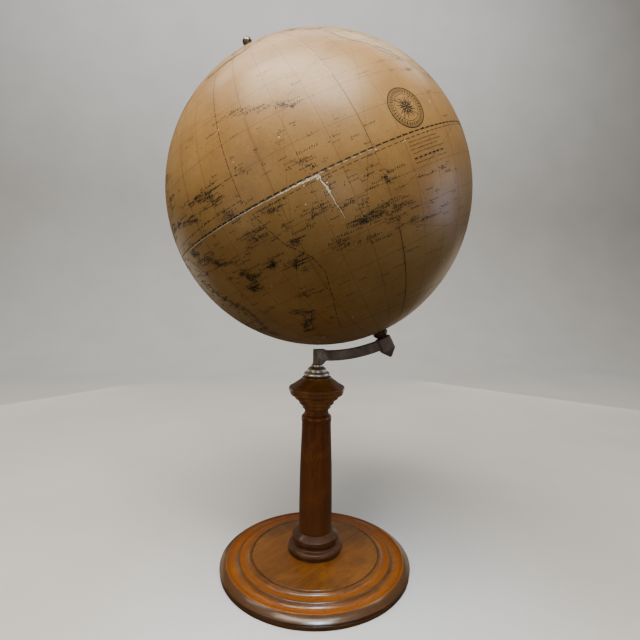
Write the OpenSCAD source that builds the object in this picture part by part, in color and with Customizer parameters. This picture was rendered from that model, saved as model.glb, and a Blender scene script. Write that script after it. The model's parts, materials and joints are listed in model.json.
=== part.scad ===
// Inclined school globe on a short arm, with a turned wooden column and round foot.
// Origin: centre of the foot's underside. +Z up, the arm points to +X, the north pole leans to -X.

/* [Globe] */
// Diameter of the finished ball
globe_d = 340; // [330:5:350]
// Height of the ball's centre above the table
globe_z = 442; // [442:1:450]
// Lean of the globe's axis from the vertical, in degrees
axis_tilt = 26; // [25:0.5:27]
// Number of printed paper gores round the ball
gore_count = 12; // [12]
// Direction of one gore seam round the globe's axis, in degrees
first_seam = 8.3; // [0:0.1:30]
// Thickness of the printed paper
paper_t = 0.35; // [0.3:0.05:0.4]
// Thickness of the moulded shells
shell_t = 5.5; // [4:0.5:7]

/* [Foot and column] */
// Diameter of the turned foot
foot_d = 230; // [226:1:236]
// Depth of the hollow under the foot
foot_hollow = 1; // [0.5:0.1:2]
// Diameter of the column at its base
column_d = 39.8; // [38:0.2:40]
// Diameter of the widest moulding on the capital
capital_d = 66.6; // [62:0.2:70]

/* [Arm] */
// Height of the arm's bar
bar_h = 12.2; // [11:0.1:13]
// Thickness of the arm's bar
bar_t = 8; // [7:0.5:9]
// Width of the block that holds the axis
block_w = 17.6; // [16:0.2:19]

/* [Metal] */
// Diameter of the steel axis through the globe
axis_d = 5; // [5]
// Diameter of the tie rod through the column
rod_d = 6; // [6]
// Diameter of the ball knob over the north pole
knob_d = 10.4; // [10:0.2:12]
// Radial play of a turning fit
run_play = 0.05; // [0.02:0.01:0.1]

/* [Hidden] */
$fn = 96;
globe_r = globe_d / 2;
eps = 0.01;

// layers of the ball, from the paper inwards
paste_gap = 0.15;
shell_r = globe_r - paper_t - paste_gap;
shell_in_r = shell_r - shell_t;
gore_turn = 360 / gore_count;
seam_turn = 0.05;
cap_paper_r = 20;
seat_gap = 0.1;

// fittings along the axis: distances outwards from the ball's surface
flange_r = 9;
flange_out = 0.8;
washer_in = 1.1;
washer_out = 1.9;
collar_out = 11.4;
block_in = collar_out;
block_out = 27.5;
block_tip = 37;
sleeve_out = 12.9;
knob_mid = 18.8;
rod_north = 16.5;
rod_south = 30;
axis_r = axis_d / 2;
bush_r = 4.9;

// inside the ball
pole_block_r = 24;
pole_block_in = 26;
core_r = 11;
core_bore_r = 5;
core_seat = 4;
hoop_h = 24;
hoop_t = 3.4;

// the stack on the column, heights above the table
foot_top = 19.2;
column_z = 44.5;
capital_z = 190;
ferrule_z = 232.4;
hub_z = 248.1;
hub_top = 265.4;
rod_top = 261;
rod_r = rod_d / 2;
rod_hole_r = rod_r + 0.3;
socket_play = 0.15;
socket_z = 10;
tenon_r = 10;
top_tenon_r = 8;
top_tenon_h = 9;
well_r = 11;
well_z = 5;
washer_t = 1.2;
nut_h = 3;

// the arm's outline
hub_r = 5;
hub_t = 10;
hub_len = 11.4;
bar_steps = 14;
block_t = 14;
block_chamfer = 2.3;
tip_half = 1.4;
pin_r = 1.25;
pin_at = 20;
screw_r = 1.5;

gore_names = [for (i = [1:gore_count]) str("gore_", i < 10 ? "0" : "", i)];

// ---------- helpers ----------

// the globe's own frame: centre of the ball, z along the axis to the north pole
module globe_frame() { translate([0, 0, globe_z]) rotate([0, -axis_tilt, 0]) children(); }

// the frame of one pole's fittings: origin on the ball's surface, z outwards
module pole_frame(side) {
  globe_frame() mirror([0, 0, side > 0 ? 0 : 1]) translate([0, 0, globe_r]) children();
}

// a ring or disc from height a to height b
module ring(r_out, r_in, a, b) {
  translate([0, 0, a]) difference() {
    cylinder(r = r_out, h = b - a);
    translate([0, 0, -1]) cylinder(r = r_in, h = b - a + 2);
  }
}

// points of an arc from angle a to angle b
function arc(cx, cy, r, a, b, n = 8) = [for (i = [0:n]) [cx + r * cos(a + (b - a) * i / n), cy + r * sin(a + (b - a) * i / n)]];

// ---------- foot and column ----------

module foot_plate() color([0.42, 0.20, 0.07]) {
  r = foot_d / 2;
  outline = concat(
    [[rod_hole_r, well_z], [well_r, well_z], [well_r, foot_hollow], [r - 22, foot_hollow], [r - 20, 0], [r - 2.2, 0]],
    arc(r - 2.2, 1.4, 1.4, -90, 0, 4),
    [[r - 0.8, 4.8], [r - 2, 5.6], [r - 2, 6.4], [r - 0.5, 6.9]],
    arc(r - 14.04, -6.64, 19.85, 45, 72, 6),
    [[r - 8.3, 12.4]],
    arc(r - 15.1, 16.9, 7.2, -32, -138, 8),
    arc(r - 23.6, 12.9, 1.9, 20, 130, 5),
    arc(r - 30.2, 19.3, 5.6, -62, -136, 6),
    [[r - 34.8, 16.2], [r - 37.8, 16.4], [r - 38.4, 14.8], [r - 39, 16.4], [r - 39.6, 16.7], [32, foot_top]],
    [[tenon_r + socket_play, foot_top], [tenon_r + socket_play, socket_z], [rod_hole_r, socket_z]]);
  rotate_extrude() polygon(outline);
}

module foot_washer() color("silver") ring(9, rod_r + 0.2, well_z - washer_t, well_z);

module foot_nut() color("silver") difference() {
  translate([0, 0, well_z - washer_t - nut_h]) cylinder(r = 6, h = nut_h, $fn = 6);
  translate([0, 0, -1]) cylinder(r = rod_r + run_play, h = 10);
}

module column_ring() color([0.30, 0.15, 0.09]) {
  outline = concat(
    [[tenon_r + socket_play, foot_top], [31, foot_top]],
    arc(28.7, 24.4, 4.4, -70, 84, 10),
    [[27.4, 29.4], [26.6, 30], [26.6, 33.4], [27.4, 34]],
    [[28, 34.8], [28, 39.2], [27.6, 39.8], [column_d / 2 + 0.4, column_z], [tenon_r + socket_play, column_z]]);
  rotate_extrude() polygon(outline);
}

module column_shaft() color([0.36, 0.13, 0.05]) {
  r = column_d / 2;
  outline = concat(
    [[rod_hole_r, socket_z + 0.3], [tenon_r, socket_z + 0.3], [tenon_r, column_z], [r, column_z]],
    [[r - 0.05, 76], [r - 0.35, 104], [r - 0.8, 127], [r - 1.6, 150], [r - 2.35, 170]],
    [[r - 2.5, 178], [r - 2.1, 179.2]],
    arc(r - 6.1, 183, 4.4, -20, 80, 8),
    [[r - 4.9, 187.6], [r - 4.9, 189], [r - 5.4, 189.4], [r - 5.6, capital_z], [top_tenon_r, capital_z], [top_tenon_r, capital_z + top_tenon_h]],
    [[rod_hole_r, capital_z + top_tenon_h]]);
  rotate_extrude() polygon(outline);
}

module capital() color([0.22, 0.09, 0.04]) {
  r = capital_d / 2;
  seat_r = top_tenon_r + socket_play;
  outline = concat(
    [[rod_hole_r, capital_z + top_tenon_h + 0.3], [seat_r, capital_z + top_tenon_h + 0.3], [seat_r, capital_z]],
    [[14.1, capital_z], [14.1, 191.8]],
    arc(17.4, 191.8, 3.3, 180, 108, 5),
    [[16.2, 195.6], [17.2, 196.2], [17.2, 198.6], [16.7, 199.4]],
    arc(17.6, 203.1, 3.7, -60, 0, 5),
    [[20.4, 204], [20.4, 205.2], [21.6, 205.6]],
    arc(22.9, 209.2, 3.5, -50, 10, 5),
    [[25.4, 210.4], [25.4, 211.4], [27, 211.6]],
    arc(r - 5.2, 214.6, 3.9, -48, 10, 5),
    [[r - 2.2, 215.8], [r - 2.2, 216.4], [r - 0.6, 216.8], [r, 217.4], [r, 219.8]],
    arc(r - 1.2, 219.9, 1.2, 0, 60, 4),
    [[27.6, 224], [22.2, 227.8], [18.4, 230.6], [17.4, 231.2], [17.4, ferrule_z], [rod_hole_r, ferrule_z]]);
  rotate_extrude() polygon(outline);
}

module tie_rod() color("silver") translate([0, 0, 1.4]) cylinder(r = rod_r, h = rod_top - 1.4);

module ferrule() color([0.62, 0.60, 0.54]) {
  outline = concat(
    [[rod_r + run_play, ferrule_z], [13.6, ferrule_z], [14.2, 233]],
    arc(12.4, 235.8, 3.3, -50, 40, 8),
    [[14.2, 238.2], [12.2, 238.6], [11.4, 239.4], [11.3, 240.4]],
    arc(6.4, 239.6, 5.2, 14, 66, 6),
    [[6.9, 245.4]],
    arc(5.6, 246.6, 1.3, -50, 70, 6),
    [[5.4, hub_z - seat_gap], [rod_r + run_play, hub_z - seat_gap]]);
  rotate_extrude() polygon(outline);
}

// ---------- arm ----------

// a point beside the axis below the south pole: u across towards the arm's outer side, v outwards
function south_point(u, v) = [(globe_r + v) * sin(axis_tilt) + u * cos(axis_tilt),
                              globe_z - (globe_r + v) * cos(axis_tilt) + u * sin(axis_tilt)];

bar_a = [hub_len - 4, 258.2];
bar_b = [42, 256.4];
bar_c = south_point(-block_w / 2 + 3, 18);
function bar_mid(t) = (1 - t) * (1 - t) * bar_a + 2 * t * (1 - t) * bar_b + t * t * bar_c;
function bar_dir(t) = let (d = 2 * (1 - t) * (bar_b - bar_a) + 2 * t * (bar_c - bar_b)) d / norm(d);
function bar_edge(t, side) = let (d = bar_dir(t)) bar_mid(t) + side * bar_h / 2 * [-d[1], d[0]];

// an outline in the XZ plane made t thick across Y
module plate_xz(t) { rotate([90, 0, 0]) linear_extrude(t, center = true) children(); }

module arm_bar() {
  plate_xz(bar_t) polygon(concat(
    [for (i = [0:bar_steps]) bar_edge(i / bar_steps, 1)],
    [for (i = [bar_steps:-1:0]) bar_edge(i / bar_steps, -1)]));
}

module arm_hub() {
  plate_xz(hub_t) polygon([[0, 252.4], [hub_len + 2.6, 252.4], [hub_len, 264.2], [hub_len - 3, hub_top], [0, hub_top]]);
  plate_xz(bar_t) polygon([[0, hub_z], [hub_r + 2.4, hub_z], [hub_r + 3.6, 250], [hub_len, 252.6], [0, 252.6]]);
  translate([0, 0, hub_z]) cylinder(r = hub_r, h = hub_top - hub_z);
}

// the end block: a chamfered square bar with a hipped point
module arm_block() {
  w = block_w / 2;
  t = block_t / 2;
  c = block_chamfer;
  pole_frame(-1) intersection() {
    rotate([90, 0, 0]) linear_extrude(block_t, center = true)
      polygon([[-w, block_in], [w, block_in], [w, block_out], [tip_half, block_tip], [-tip_half, block_tip], [-w, block_out]]);
    rotate([90, 0, 90]) linear_extrude(block_w, center = true)
      polygon([[-t, block_in], [t, block_in], [t, block_out], [tip_half, block_tip], [-tip_half, block_tip], [-t, block_out]]);
    translate([0, 0, block_in]) linear_extrude(block_tip - block_in)
      polygon([[-w + c, -t], [w - c, -t], [w, -t + c], [w, t - c], [w - c, t], [-w + c, t], [-w, t - c], [-w, -t + c]]);
  }
}

module arm() color([0.20, 0.18, 0.17]) difference() {
  union() {
    arm_bar();
    arm_hub();
    arm_block();
  }
  translate([0, 0, hub_z - 1]) cylinder(r = rod_r + run_play, h = rod_top - hub_z + 1.6);
  translate([0, 0, 256]) rotate([-90, 0, 0]) cylinder(r = screw_r + run_play, h = 8);
  pole_frame(-1) translate([0, 0, block_in - 1]) cylinder(r = axis_r + run_play, h = rod_south - block_in + 1.5);
  pole_frame(-1) translate([0, 0, pin_at]) rotate([90, 0, 0]) cylinder(r = pin_r + run_play, h = 20, center = true);
}

module set_screw() color([0.3, 0.3, 0.3]) translate([0, 0, 256]) rotate([-90, 0, 0]) difference() {
  translate([0, 0, rod_r + 0.3]) cylinder(r = screw_r, h = 4);
  translate([0, 0, rod_r + 3.3]) cube([4, 0.6, 3], center = true);
}

module axis_rod() color("silver") difference() {
  globe_frame() translate([0, 0, -globe_r - rod_south]) cylinder(r = axis_r, h = 2 * globe_r + rod_south + rod_north);
  pole_frame(-1) translate([0, 0, pin_at]) rotate([90, 0, 0]) cylinder(r = pin_r + run_play, h = 20, center = true);
}

module axis_pin() color("silver")
  pole_frame(-1) translate([0, 0, pin_at]) rotate([90, 0, 0]) cylinder(r = pin_r, h = block_t - 0.6, center = true);

// ---------- fittings at the poles ----------

module south_collar() color([0.13, 0.07, 0.05]) pole_frame(-1) {
  outline = concat(
    [[axis_r + run_play, washer_out], [8.2, washer_out]],
    arc(4.6, 4.6, 4.5, -40, 30, 6),
    [[7.2, 8.6], [6.2, 9.6], [6, collar_out], [axis_r + run_play, collar_out]]);
  rotate_extrude() polygon(outline);
}

module south_washer() color([0.25, 0.14, 0.07]) pole_frame(-1) ring(7, axis_r + run_play, washer_in, washer_out);

module north_washer() color([0.25, 0.14, 0.07]) pole_frame(1) ring(6, axis_r + run_play, washer_in, washer_out);

module north_sleeve() color([0.62, 0.60, 0.54]) pole_frame(1) {
  outline = [[axis_r + run_play, washer_out], [4.6, washer_out], [4.6, 3.4], [3.7, 4.2], [3.7, 11.4], [4.4, 12],
             [4.4, sleeve_out], [axis_r + run_play, sleeve_out]];
  rotate_extrude() polygon(outline);
}

module finial_knob() color([0.72, 0.70, 0.66]) pole_frame(1) difference() {
  union() {
    translate([0, 0, knob_mid]) sphere(r = knob_d / 2);
    translate([0, 0, sleeve_out]) cylinder(r = 3.6, h = 2.6);
  }
  translate([0, 0, sleeve_out - 1]) cylinder(r = axis_r + run_play, h = rod_north + 1.2 - sleeve_out);
}

// ---------- ball ----------

// half of the moulded ball: side is 1 for the north, -1 for the south
module half_shell(side) {
  globe_frame() mirror([0, 0, side > 0 ? 0 : 1]) difference() {
    sphere(r = shell_r);
    sphere(r = shell_in_r);
    translate([0, 0, -globe_r - 1 + seat_gap / 2]) cube([3 * globe_r, 3 * globe_r, 2 * globe_r + 2], center = true);
    cylinder(r = bush_r + seat_gap, h = globe_r + 5);
  }
}

module north_shell() color([0.62, 0.56, 0.46]) half_shell(1);
module south_shell() color([0.62, 0.56, 0.46]) half_shell(-1);

module equator_hoop() color([0.70, 0.55, 0.36]) globe_frame() {
  hoop_r = sqrt(shell_in_r * shell_in_r - hoop_h * hoop_h / 4) - 0.2;
  ring(hoop_r, hoop_r - hoop_t, -hoop_h / 2, hoop_h / 2);
}

module core_tube() color([0.66, 0.50, 0.32]) globe_frame() {
  half = globe_r - pole_block_in + core_seat - 0.1;
  ring(core_r, core_bore_r, -half, half);
}

// turned wooden block glued inside a pole
module pole_block(side) {
  pole_frame(side) difference() {
    intersection() {
      translate([0, 0, -pole_block_in]) cylinder(r = pole_block_r, h = pole_block_in);
      translate([0, 0, -globe_r]) sphere(r = shell_in_r - 0.15);
    }
    translate([0, 0, -pole_block_in - 1]) cylinder(r = bush_r + seat_gap, h = pole_block_in + 2);
    translate([0, 0, -pole_block_in - 1]) cylinder(r = core_r + seat_gap, h = core_seat + 1);
  }
}

module north_block() color([0.66, 0.50, 0.32]) pole_block(1);
module south_block() color([0.66, 0.50, 0.32]) pole_block(-1);

// flanged bush that the axis turns in
module pole_bush(side) {
  pole_frame(side) difference() {
    union() {
      difference() {
        translate([0, 0, -2]) cylinder(r = flange_r, h = 2 + flange_out);
        translate([0, 0, -globe_r]) sphere(r = globe_r + seat_gap);
      }
      translate([0, 0, -pole_block_in + core_seat + 1]) cylinder(r = bush_r, h = pole_block_in - core_seat - 1 + flange_out / 2);
    }
    translate([0, 0, -pole_block_in - 1]) cylinder(r = axis_r + run_play, h = pole_block_in + 5);
  }
}

module north_bush() color([0.66, 0.52, 0.24]) pole_bush(1);
module south_bush() color([0.66, 0.52, 0.24]) pole_bush(-1);

// the printed skin, as thick as the paper
module paper_ball() { difference() { sphere(r = globe_r); sphere(r = globe_r - paper_t); } }

module cap_paper(side) {
  globe_frame() mirror([0, 0, side > 0 ? 0 : 1]) intersection() {
    paper_ball();
    ring(cap_paper_r, bush_r + seat_gap, globe_r / 2, globe_r + 1);
  }
}

module north_cap_paper() color([0.62, 0.44, 0.24]) cap_paper(1);
module south_cap_paper() color([0.62, 0.44, 0.24]) cap_paper(-1);

// one printed gore: a slice of the skin between two seams, stopping short of the poles
module gore(i) color([0.60 + 0.02 * (i % 2), 0.42, 0.22]) {
  reach = 2 * globe_r;
  half = gore_turn / 2 - seam_turn;
  globe_frame() rotate([0, 0, first_seam + gore_turn * (i + 0.5)]) difference() {
    intersection() {
      paper_ball();
      linear_extrude(reach, center = true)
        polygon([[0, 0], [reach, -reach * tan(half)], [reach, reach * tan(half)]]);
    }
    cylinder(r = cap_paper_r + 0.1, h = 3 * globe_r, center = true);
  }
}

// ---------- assembly ----------

foot_plate();
foot_washer();
foot_nut();
column_ring();
column_shaft();
capital();
tie_rod();
ferrule();
arm();
set_screw();
axis_rod();
axis_pin();
south_collar();
south_washer();
north_washer();
north_sleeve();
finial_knob();
north_shell();
south_shell();
equator_hoop();
core_tube();
north_block();
south_block();
north_bush();
south_bush();
north_cap_paper();
south_cap_paper();
for (i = [0:gore_count - 1]) gore(i);
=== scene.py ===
# %% [markdown]
# # An inclined school globe on a turned column
#
# The object is an old terrestrial globe: a ball of moulded pulp covered with printed paper gores, a
# leaning steel axis held from below by a short iron arm, and a polished wooden column on a round foot.
# The measured design (sizes, joints, the place of every part) comes in as a fixed frame, and this
# script gives it its finished surfaces. Every length is in metres unless its name ends in mm.

# %% The frame and the tools
import json
import math

import bpy
import numpy as np
from mathutils import Matrix, Vector
from mathutils.kdtree import KDTree

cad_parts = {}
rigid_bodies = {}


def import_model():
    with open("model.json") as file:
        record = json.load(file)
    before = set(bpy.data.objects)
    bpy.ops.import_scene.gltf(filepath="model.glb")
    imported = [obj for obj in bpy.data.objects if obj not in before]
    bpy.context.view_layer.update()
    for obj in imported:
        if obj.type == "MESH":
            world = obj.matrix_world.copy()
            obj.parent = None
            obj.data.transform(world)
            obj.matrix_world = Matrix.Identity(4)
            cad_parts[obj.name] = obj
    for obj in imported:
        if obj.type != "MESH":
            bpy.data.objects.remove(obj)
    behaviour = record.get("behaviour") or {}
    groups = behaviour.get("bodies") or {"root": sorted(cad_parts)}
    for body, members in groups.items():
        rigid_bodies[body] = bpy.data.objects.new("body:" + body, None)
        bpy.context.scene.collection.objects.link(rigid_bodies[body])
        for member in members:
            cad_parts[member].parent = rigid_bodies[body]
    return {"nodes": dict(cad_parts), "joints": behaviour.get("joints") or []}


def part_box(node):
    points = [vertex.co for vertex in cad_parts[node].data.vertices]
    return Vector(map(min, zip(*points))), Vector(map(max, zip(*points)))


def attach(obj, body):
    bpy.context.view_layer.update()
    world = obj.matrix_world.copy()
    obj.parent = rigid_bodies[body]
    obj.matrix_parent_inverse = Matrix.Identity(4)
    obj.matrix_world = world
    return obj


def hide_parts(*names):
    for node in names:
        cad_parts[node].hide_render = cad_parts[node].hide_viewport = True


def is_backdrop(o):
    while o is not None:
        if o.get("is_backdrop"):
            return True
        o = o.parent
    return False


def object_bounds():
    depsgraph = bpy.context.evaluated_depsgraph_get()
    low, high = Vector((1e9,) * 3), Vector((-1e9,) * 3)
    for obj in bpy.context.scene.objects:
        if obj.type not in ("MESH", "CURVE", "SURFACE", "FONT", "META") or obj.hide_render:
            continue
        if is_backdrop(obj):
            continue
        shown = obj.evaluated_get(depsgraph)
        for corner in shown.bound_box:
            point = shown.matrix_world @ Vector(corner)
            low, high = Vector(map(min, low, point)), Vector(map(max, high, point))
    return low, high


for spare in list(bpy.data.objects):
    bpy.data.objects.remove(spare)
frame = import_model()
cad_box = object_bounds()
MM = 0.001

# %% [markdown]
# ## Where things are
#
# The ball's centre and its leaning axis decide where every printed line goes. The spin joint states
# both, so they are read from there. The ball's radius is half of the whole model's width, because
# nothing sticks out further than the ball. The three unit vectors are the ball's own frame: along the
# axis to the north pole, across it on the arm's side, and level towards the back.

# %% The ball's own frame
spin = next(joint for joint in frame["joints"] if joint["name"] == "globe_spin")
centre = Vector(spin["pos_m"])
north = Vector(spin["axis"]).normalized()
across = Vector((north.z, 0, -north.x))
level = north.cross(across)
ball_r = round((cad_box[1].y - cad_box[0].y) / 2, 4)
ball_frame = np.array([across, level, north])
print(f"axis leans {math.degrees(math.acos(north.z)):.1f} degrees, ball radius {ball_r / MM:.1f} mm")


# %% [markdown]
# ## A camera at a visitor's eye
#
# The globe is seen from a little over half a metre, from slightly below the ball's centre, so the
# foot's rings open up while the ball stays almost round. The stand is turned a few degrees, so that the
# arm points a little away from the viewer. A 26 mm lens this close makes the ball look large over its
# slim column.

# %% Camera
EYE_DISTANCE = 0.547
EYE_HEIGHT = 0.3387
STAND_TURN = math.radians(7.33)
LOOK_DOWN = math.radians(4.0)
LOOK_RIGHT = math.radians(0.30)
CAMERA_ROLL = math.radians(0.68)

eye = bpy.data.cameras.new("eye")
eye.lens = 25.99
eye.sensor_width = 36
camera = bpy.data.objects.new("camera", eye)
bpy.context.collection.objects.link(camera)
heading = LOOK_RIGHT + STAND_TURN
forward = Vector((math.sin(heading) * math.cos(LOOK_DOWN), math.cos(heading) * math.cos(LOOK_DOWN),
                  -math.sin(LOOK_DOWN)))
right = forward.cross(Vector((0, 0, 1))).normalized()
upward = right.cross(forward)
rolled_right = right * math.cos(CAMERA_ROLL) + upward * math.sin(CAMERA_ROLL)
rolled_up = upward * math.cos(CAMERA_ROLL) - right * math.sin(CAMERA_ROLL)
place = Vector((-math.sin(STAND_TURN) * EYE_DISTANCE, -math.cos(STAND_TURN) * EYE_DISTANCE, EYE_HEIGHT))
turn = Matrix((rolled_right, rolled_up, -forward)).transposed().to_4x4()
camera.matrix_world = Matrix.Translation(place) @ turn
bpy.context.scene.camera = camera
print("camera at", [round(c, 3) for c in place])


# %% [markdown]
# ## Shader maths as plain expressions
#
# Blender's materials are graphs of nodes. Wiring them by hand hides the idea behind a lot of plumbing,
# so a small class wraps one node output and lets it take part in arithmetic. `1 - mask * 0.3` then adds
# the Math nodes for it. Colours and vectors go through Mix and Vector Math nodes, because Math turns
# them grey.

# %% Wire
class Wire:
    """One node output that can be used like a number."""

    def __init__(self, finish, socket):
        self.finish = finish
        self.socket = socket

    def math(self, operation, *terms):
        return self.finish.node("ShaderNodeMath", {"operation": operation}, dict(enumerate(terms)))

    def __add__(self, other):
        return self.math("ADD", self, other)

    def __radd__(self, other):
        return self.math("ADD", other, self)

    def __sub__(self, other):
        return self.math("SUBTRACT", self, other)

    def __rsub__(self, other):
        return self.math("SUBTRACT", other, self)

    def __mul__(self, other):
        return self.math("MULTIPLY", self, other)

    def __rmul__(self, other):
        return self.math("MULTIPLY", other, self)

    def part(self, index):
        """One coordinate of a vector."""
        return self.finish.node("ShaderNodeSeparateXYZ", {}, {0: self}, index)


print("a Wire adds, subtracts and multiplies")


# %% Finish
class Finish:
    """A material whose nodes are added one by one: settings first, then values or links."""

    def __init__(self, name, **constants):
        self.material = bpy.data.materials.new(name)
        self.material.use_nodes = True
        self.tree = self.material.node_tree
        self.skin = self.tree.nodes["Principled BSDF"]
        for words, value in constants.items():
            self.skin.inputs[words.replace("_", " ")].default_value = value

    def node(self, kind, settings, values, output=0):
        node = self.tree.nodes.new(kind)
        for key, value in settings.items():
            if key == "stops":
                set_stops(node.color_ramp, value)
            else:
                setattr(node, key, value)
        for key, value in values.items():
            if isinstance(value, Wire):
                self.tree.links.new(value.socket, node.inputs[key])
            else:
                node.inputs[key].default_value = value
        return Wire(self, node.outputs[output])

    def feed(self, socket, wire):
        self.tree.links.new(wire.socket, self.skin.inputs[socket])

    def place(self):
        """Coordinates of the part itself, in metres, which stay with it when it moves."""
        return self.node("ShaderNodeTexCoord", {}, {}, "Object")

    def vector(self, operation, *terms):
        output = 1 if operation == "LENGTH" else 0
        return self.node("ShaderNodeVectorMath", {"operation": operation}, dict(enumerate(terms)), output)

    def mix(self, low, high, amount):
        """The low colour where amount is 0, the high one where it is 1."""
        return self.node("ShaderNodeMix", {"data_type": "RGBA"}, {0: amount, 6: low, 7: high}, 2)

    def noise(self, place, scale, detail=3.0, rough=0.5, twist=0.0):
        values = {"Vector": place, "Scale": scale, "Detail": detail, "Roughness": rough,
                  "Distortion": twist}
        return self.node("ShaderNodeTexNoise", {}, values)

    def rise(self, value, start, end):
        """0 below start, 1 above end, smooth between."""
        return self.node("ShaderNodeMapRange", {"interpolation_type": "SMOOTHSTEP"},
                         {0: value, 1: start, 2: end})

    def hill(self, value, middle, half):
        """1 at middle, falling smoothly to 0 at half a width on either side."""
        away = self.node("ShaderNodeMath", {"operation": "ABSOLUTE"}, {0: value - middle})
        return 1 - self.rise(away, half * 0.35, half)

    def ramp(self, value, stops):
        return self.node("ShaderNodeValToRGB", {"stops": stops}, {0: value})

    def bump(self, height, strength, depth_mm):
        values = {"Strength": strength, "Distance": depth_mm * MM, "Height": height}
        return self.node("ShaderNodeBump", {}, values)


def set_stops(ramp, stops):
    while len(ramp.elements) < len(stops):
        ramp.elements.new(1.0)
    for element, (position, colour) in zip(ramp.elements, stops):
        element.position = position
        element.color = (*colour, 1.0)


def ink(red, green, blue):
    """A colour with its alpha."""
    return (red, green, blue, 1.0)


print("shader helpers ready")


# %% [markdown]
# ## Meshes from outlines
#
# A lathe makes round parts by turning an outline about an axis, and so does this helper. Real turned
# edges are never knife sharp: the chisel and the polish leave a small round. `soften` replaces every
# corner of an outline with a short curve, which also catches the light as the real edges do.

# %% Arcs and soft corners
def arc(cx, cy, radius, start, end, steps=10):
    angles = [math.radians(start + (end - start) * i / steps) for i in range(steps + 1)]
    return [(cx + radius * math.cos(a), cy + radius * math.sin(a)) for a in angles]


def soften(outline, radius, steps=3):
    """The closed outline with each corner replaced by a short curve."""
    points = [Vector(p) for p in outline]
    soft = []
    for i, corner in enumerate(points):
        before = points[i - 1] - corner
        after = points[(i + 1) % len(points)] - corner
        if before.length < 1e-9 or after.length < 1e-9:
            continue
        start = corner + before.normalized() * min(radius, before.length * 0.45)
        end = corner + after.normalized() * min(radius, after.length * 0.45)
        for k in range(steps + 1):
            t = k / steps
            soft.append(start * (1 - t) ** 2 + corner * 2 * t * (1 - t) + end * t ** 2)
    return soft


print("a square's corners soften into", len(soften([(0, 0), (9, 0), (9, 9), (0, 9)], 1)), "points")


# %% Mesh pieces and the lathe
def mesh_piece(name, points, faces, body, finish):
    mesh = bpy.data.meshes.new(name)
    mesh.from_pydata([tuple(p) for p in points], [], faces)
    mesh.validate()
    mesh.materials.append(finish.material)
    for face in mesh.polygons:
        face.use_smooth = True
    piece = bpy.data.objects.new(name, mesh)
    bpy.context.collection.objects.link(piece)
    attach(piece, body)
    return piece


def lathe(name, outline_mm, body, finish, round_mm=0.4, turns=192, base=Vector((0, 0, 0)),
          axis=Vector((0, 0, 1))):
    """Turns a closed outline of (radius, height) about an axis through base."""
    outline = soften(outline_mm, round_mm)
    side = Vector((0, 1, 0))
    front = side.cross(axis).normalized()
    count = len(outline)
    points = []
    for k in range(turns):
        a = 2 * math.pi * k / turns
        spoke = front * math.cos(a) + side * math.sin(a)
        points += [base + (spoke * p.x + axis * p.y) * MM for p in outline]
    faces = []
    for k in range(turns):
        here = k * count
        there = ((k + 1) % turns) * count
        for i in range(count):
            j = (i + 1) % count
            faces.append((here + i, there + i, there + j, here + j))
    piece = mesh_piece(name, points, faces, body, finish)
    weigh = piece.modifiers.new("even_normals", "WEIGHTED_NORMAL")
    weigh.keep_sharp = True
    print(f"{name}: {count} points turned {turns} times")
    return piece


print("the lathe is ready")


# %% [markdown]
# ## French-polished wood
#
# The stand is stained hardwood under many thin coats of shellac. Three things make it read as wood:
# long dark pores that run with the grain, slow growth bands that wander, and a clear coat that sits on
# top with a gloss of its own. The grain runs along the column but straight across the foot, because the
# foot was cut from a board. Where hands and dusters wear the stain off, the amber wood below shows, and
# it is duller there.

# %% Wood finish
def wood_grain(finish, place, along, scale=1.0):
    """Growth bands, fine streaks and pores, for grain that runs along one direction of the coordinates."""
    stretch = [9.0 * scale, 9.0 * scale, 9.0 * scale]
    stretch[along] = 0.9 * scale
    slow = finish.vector("MULTIPLY", place, tuple(stretch))
    wander = finish.noise(slow, 3.0, 4.0, 0.55, 0.6)
    band_space = finish.vector("MULTIPLY", place, tuple(s * 5 for s in stretch))
    bands = finish.noise(band_space, 2.4, 5.0, 0.6, 1.4)
    streak_space = finish.vector("MULTIPLY", place, tuple(s * 26 for s in stretch))
    streaks = finish.noise(streak_space, 3.2, 3.0, 0.6)
    pore_stretch = [s * 60 for s in stretch]
    pore_stretch[along] = stretch[along] * 34
    pore_space = finish.vector("MULTIPLY", place, tuple(pore_stretch))
    pores = finish.rise(finish.noise(pore_space, 2.0, 1.0, 0.4), 0.60, 0.70)
    return wander, bands, streaks, pores


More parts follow.
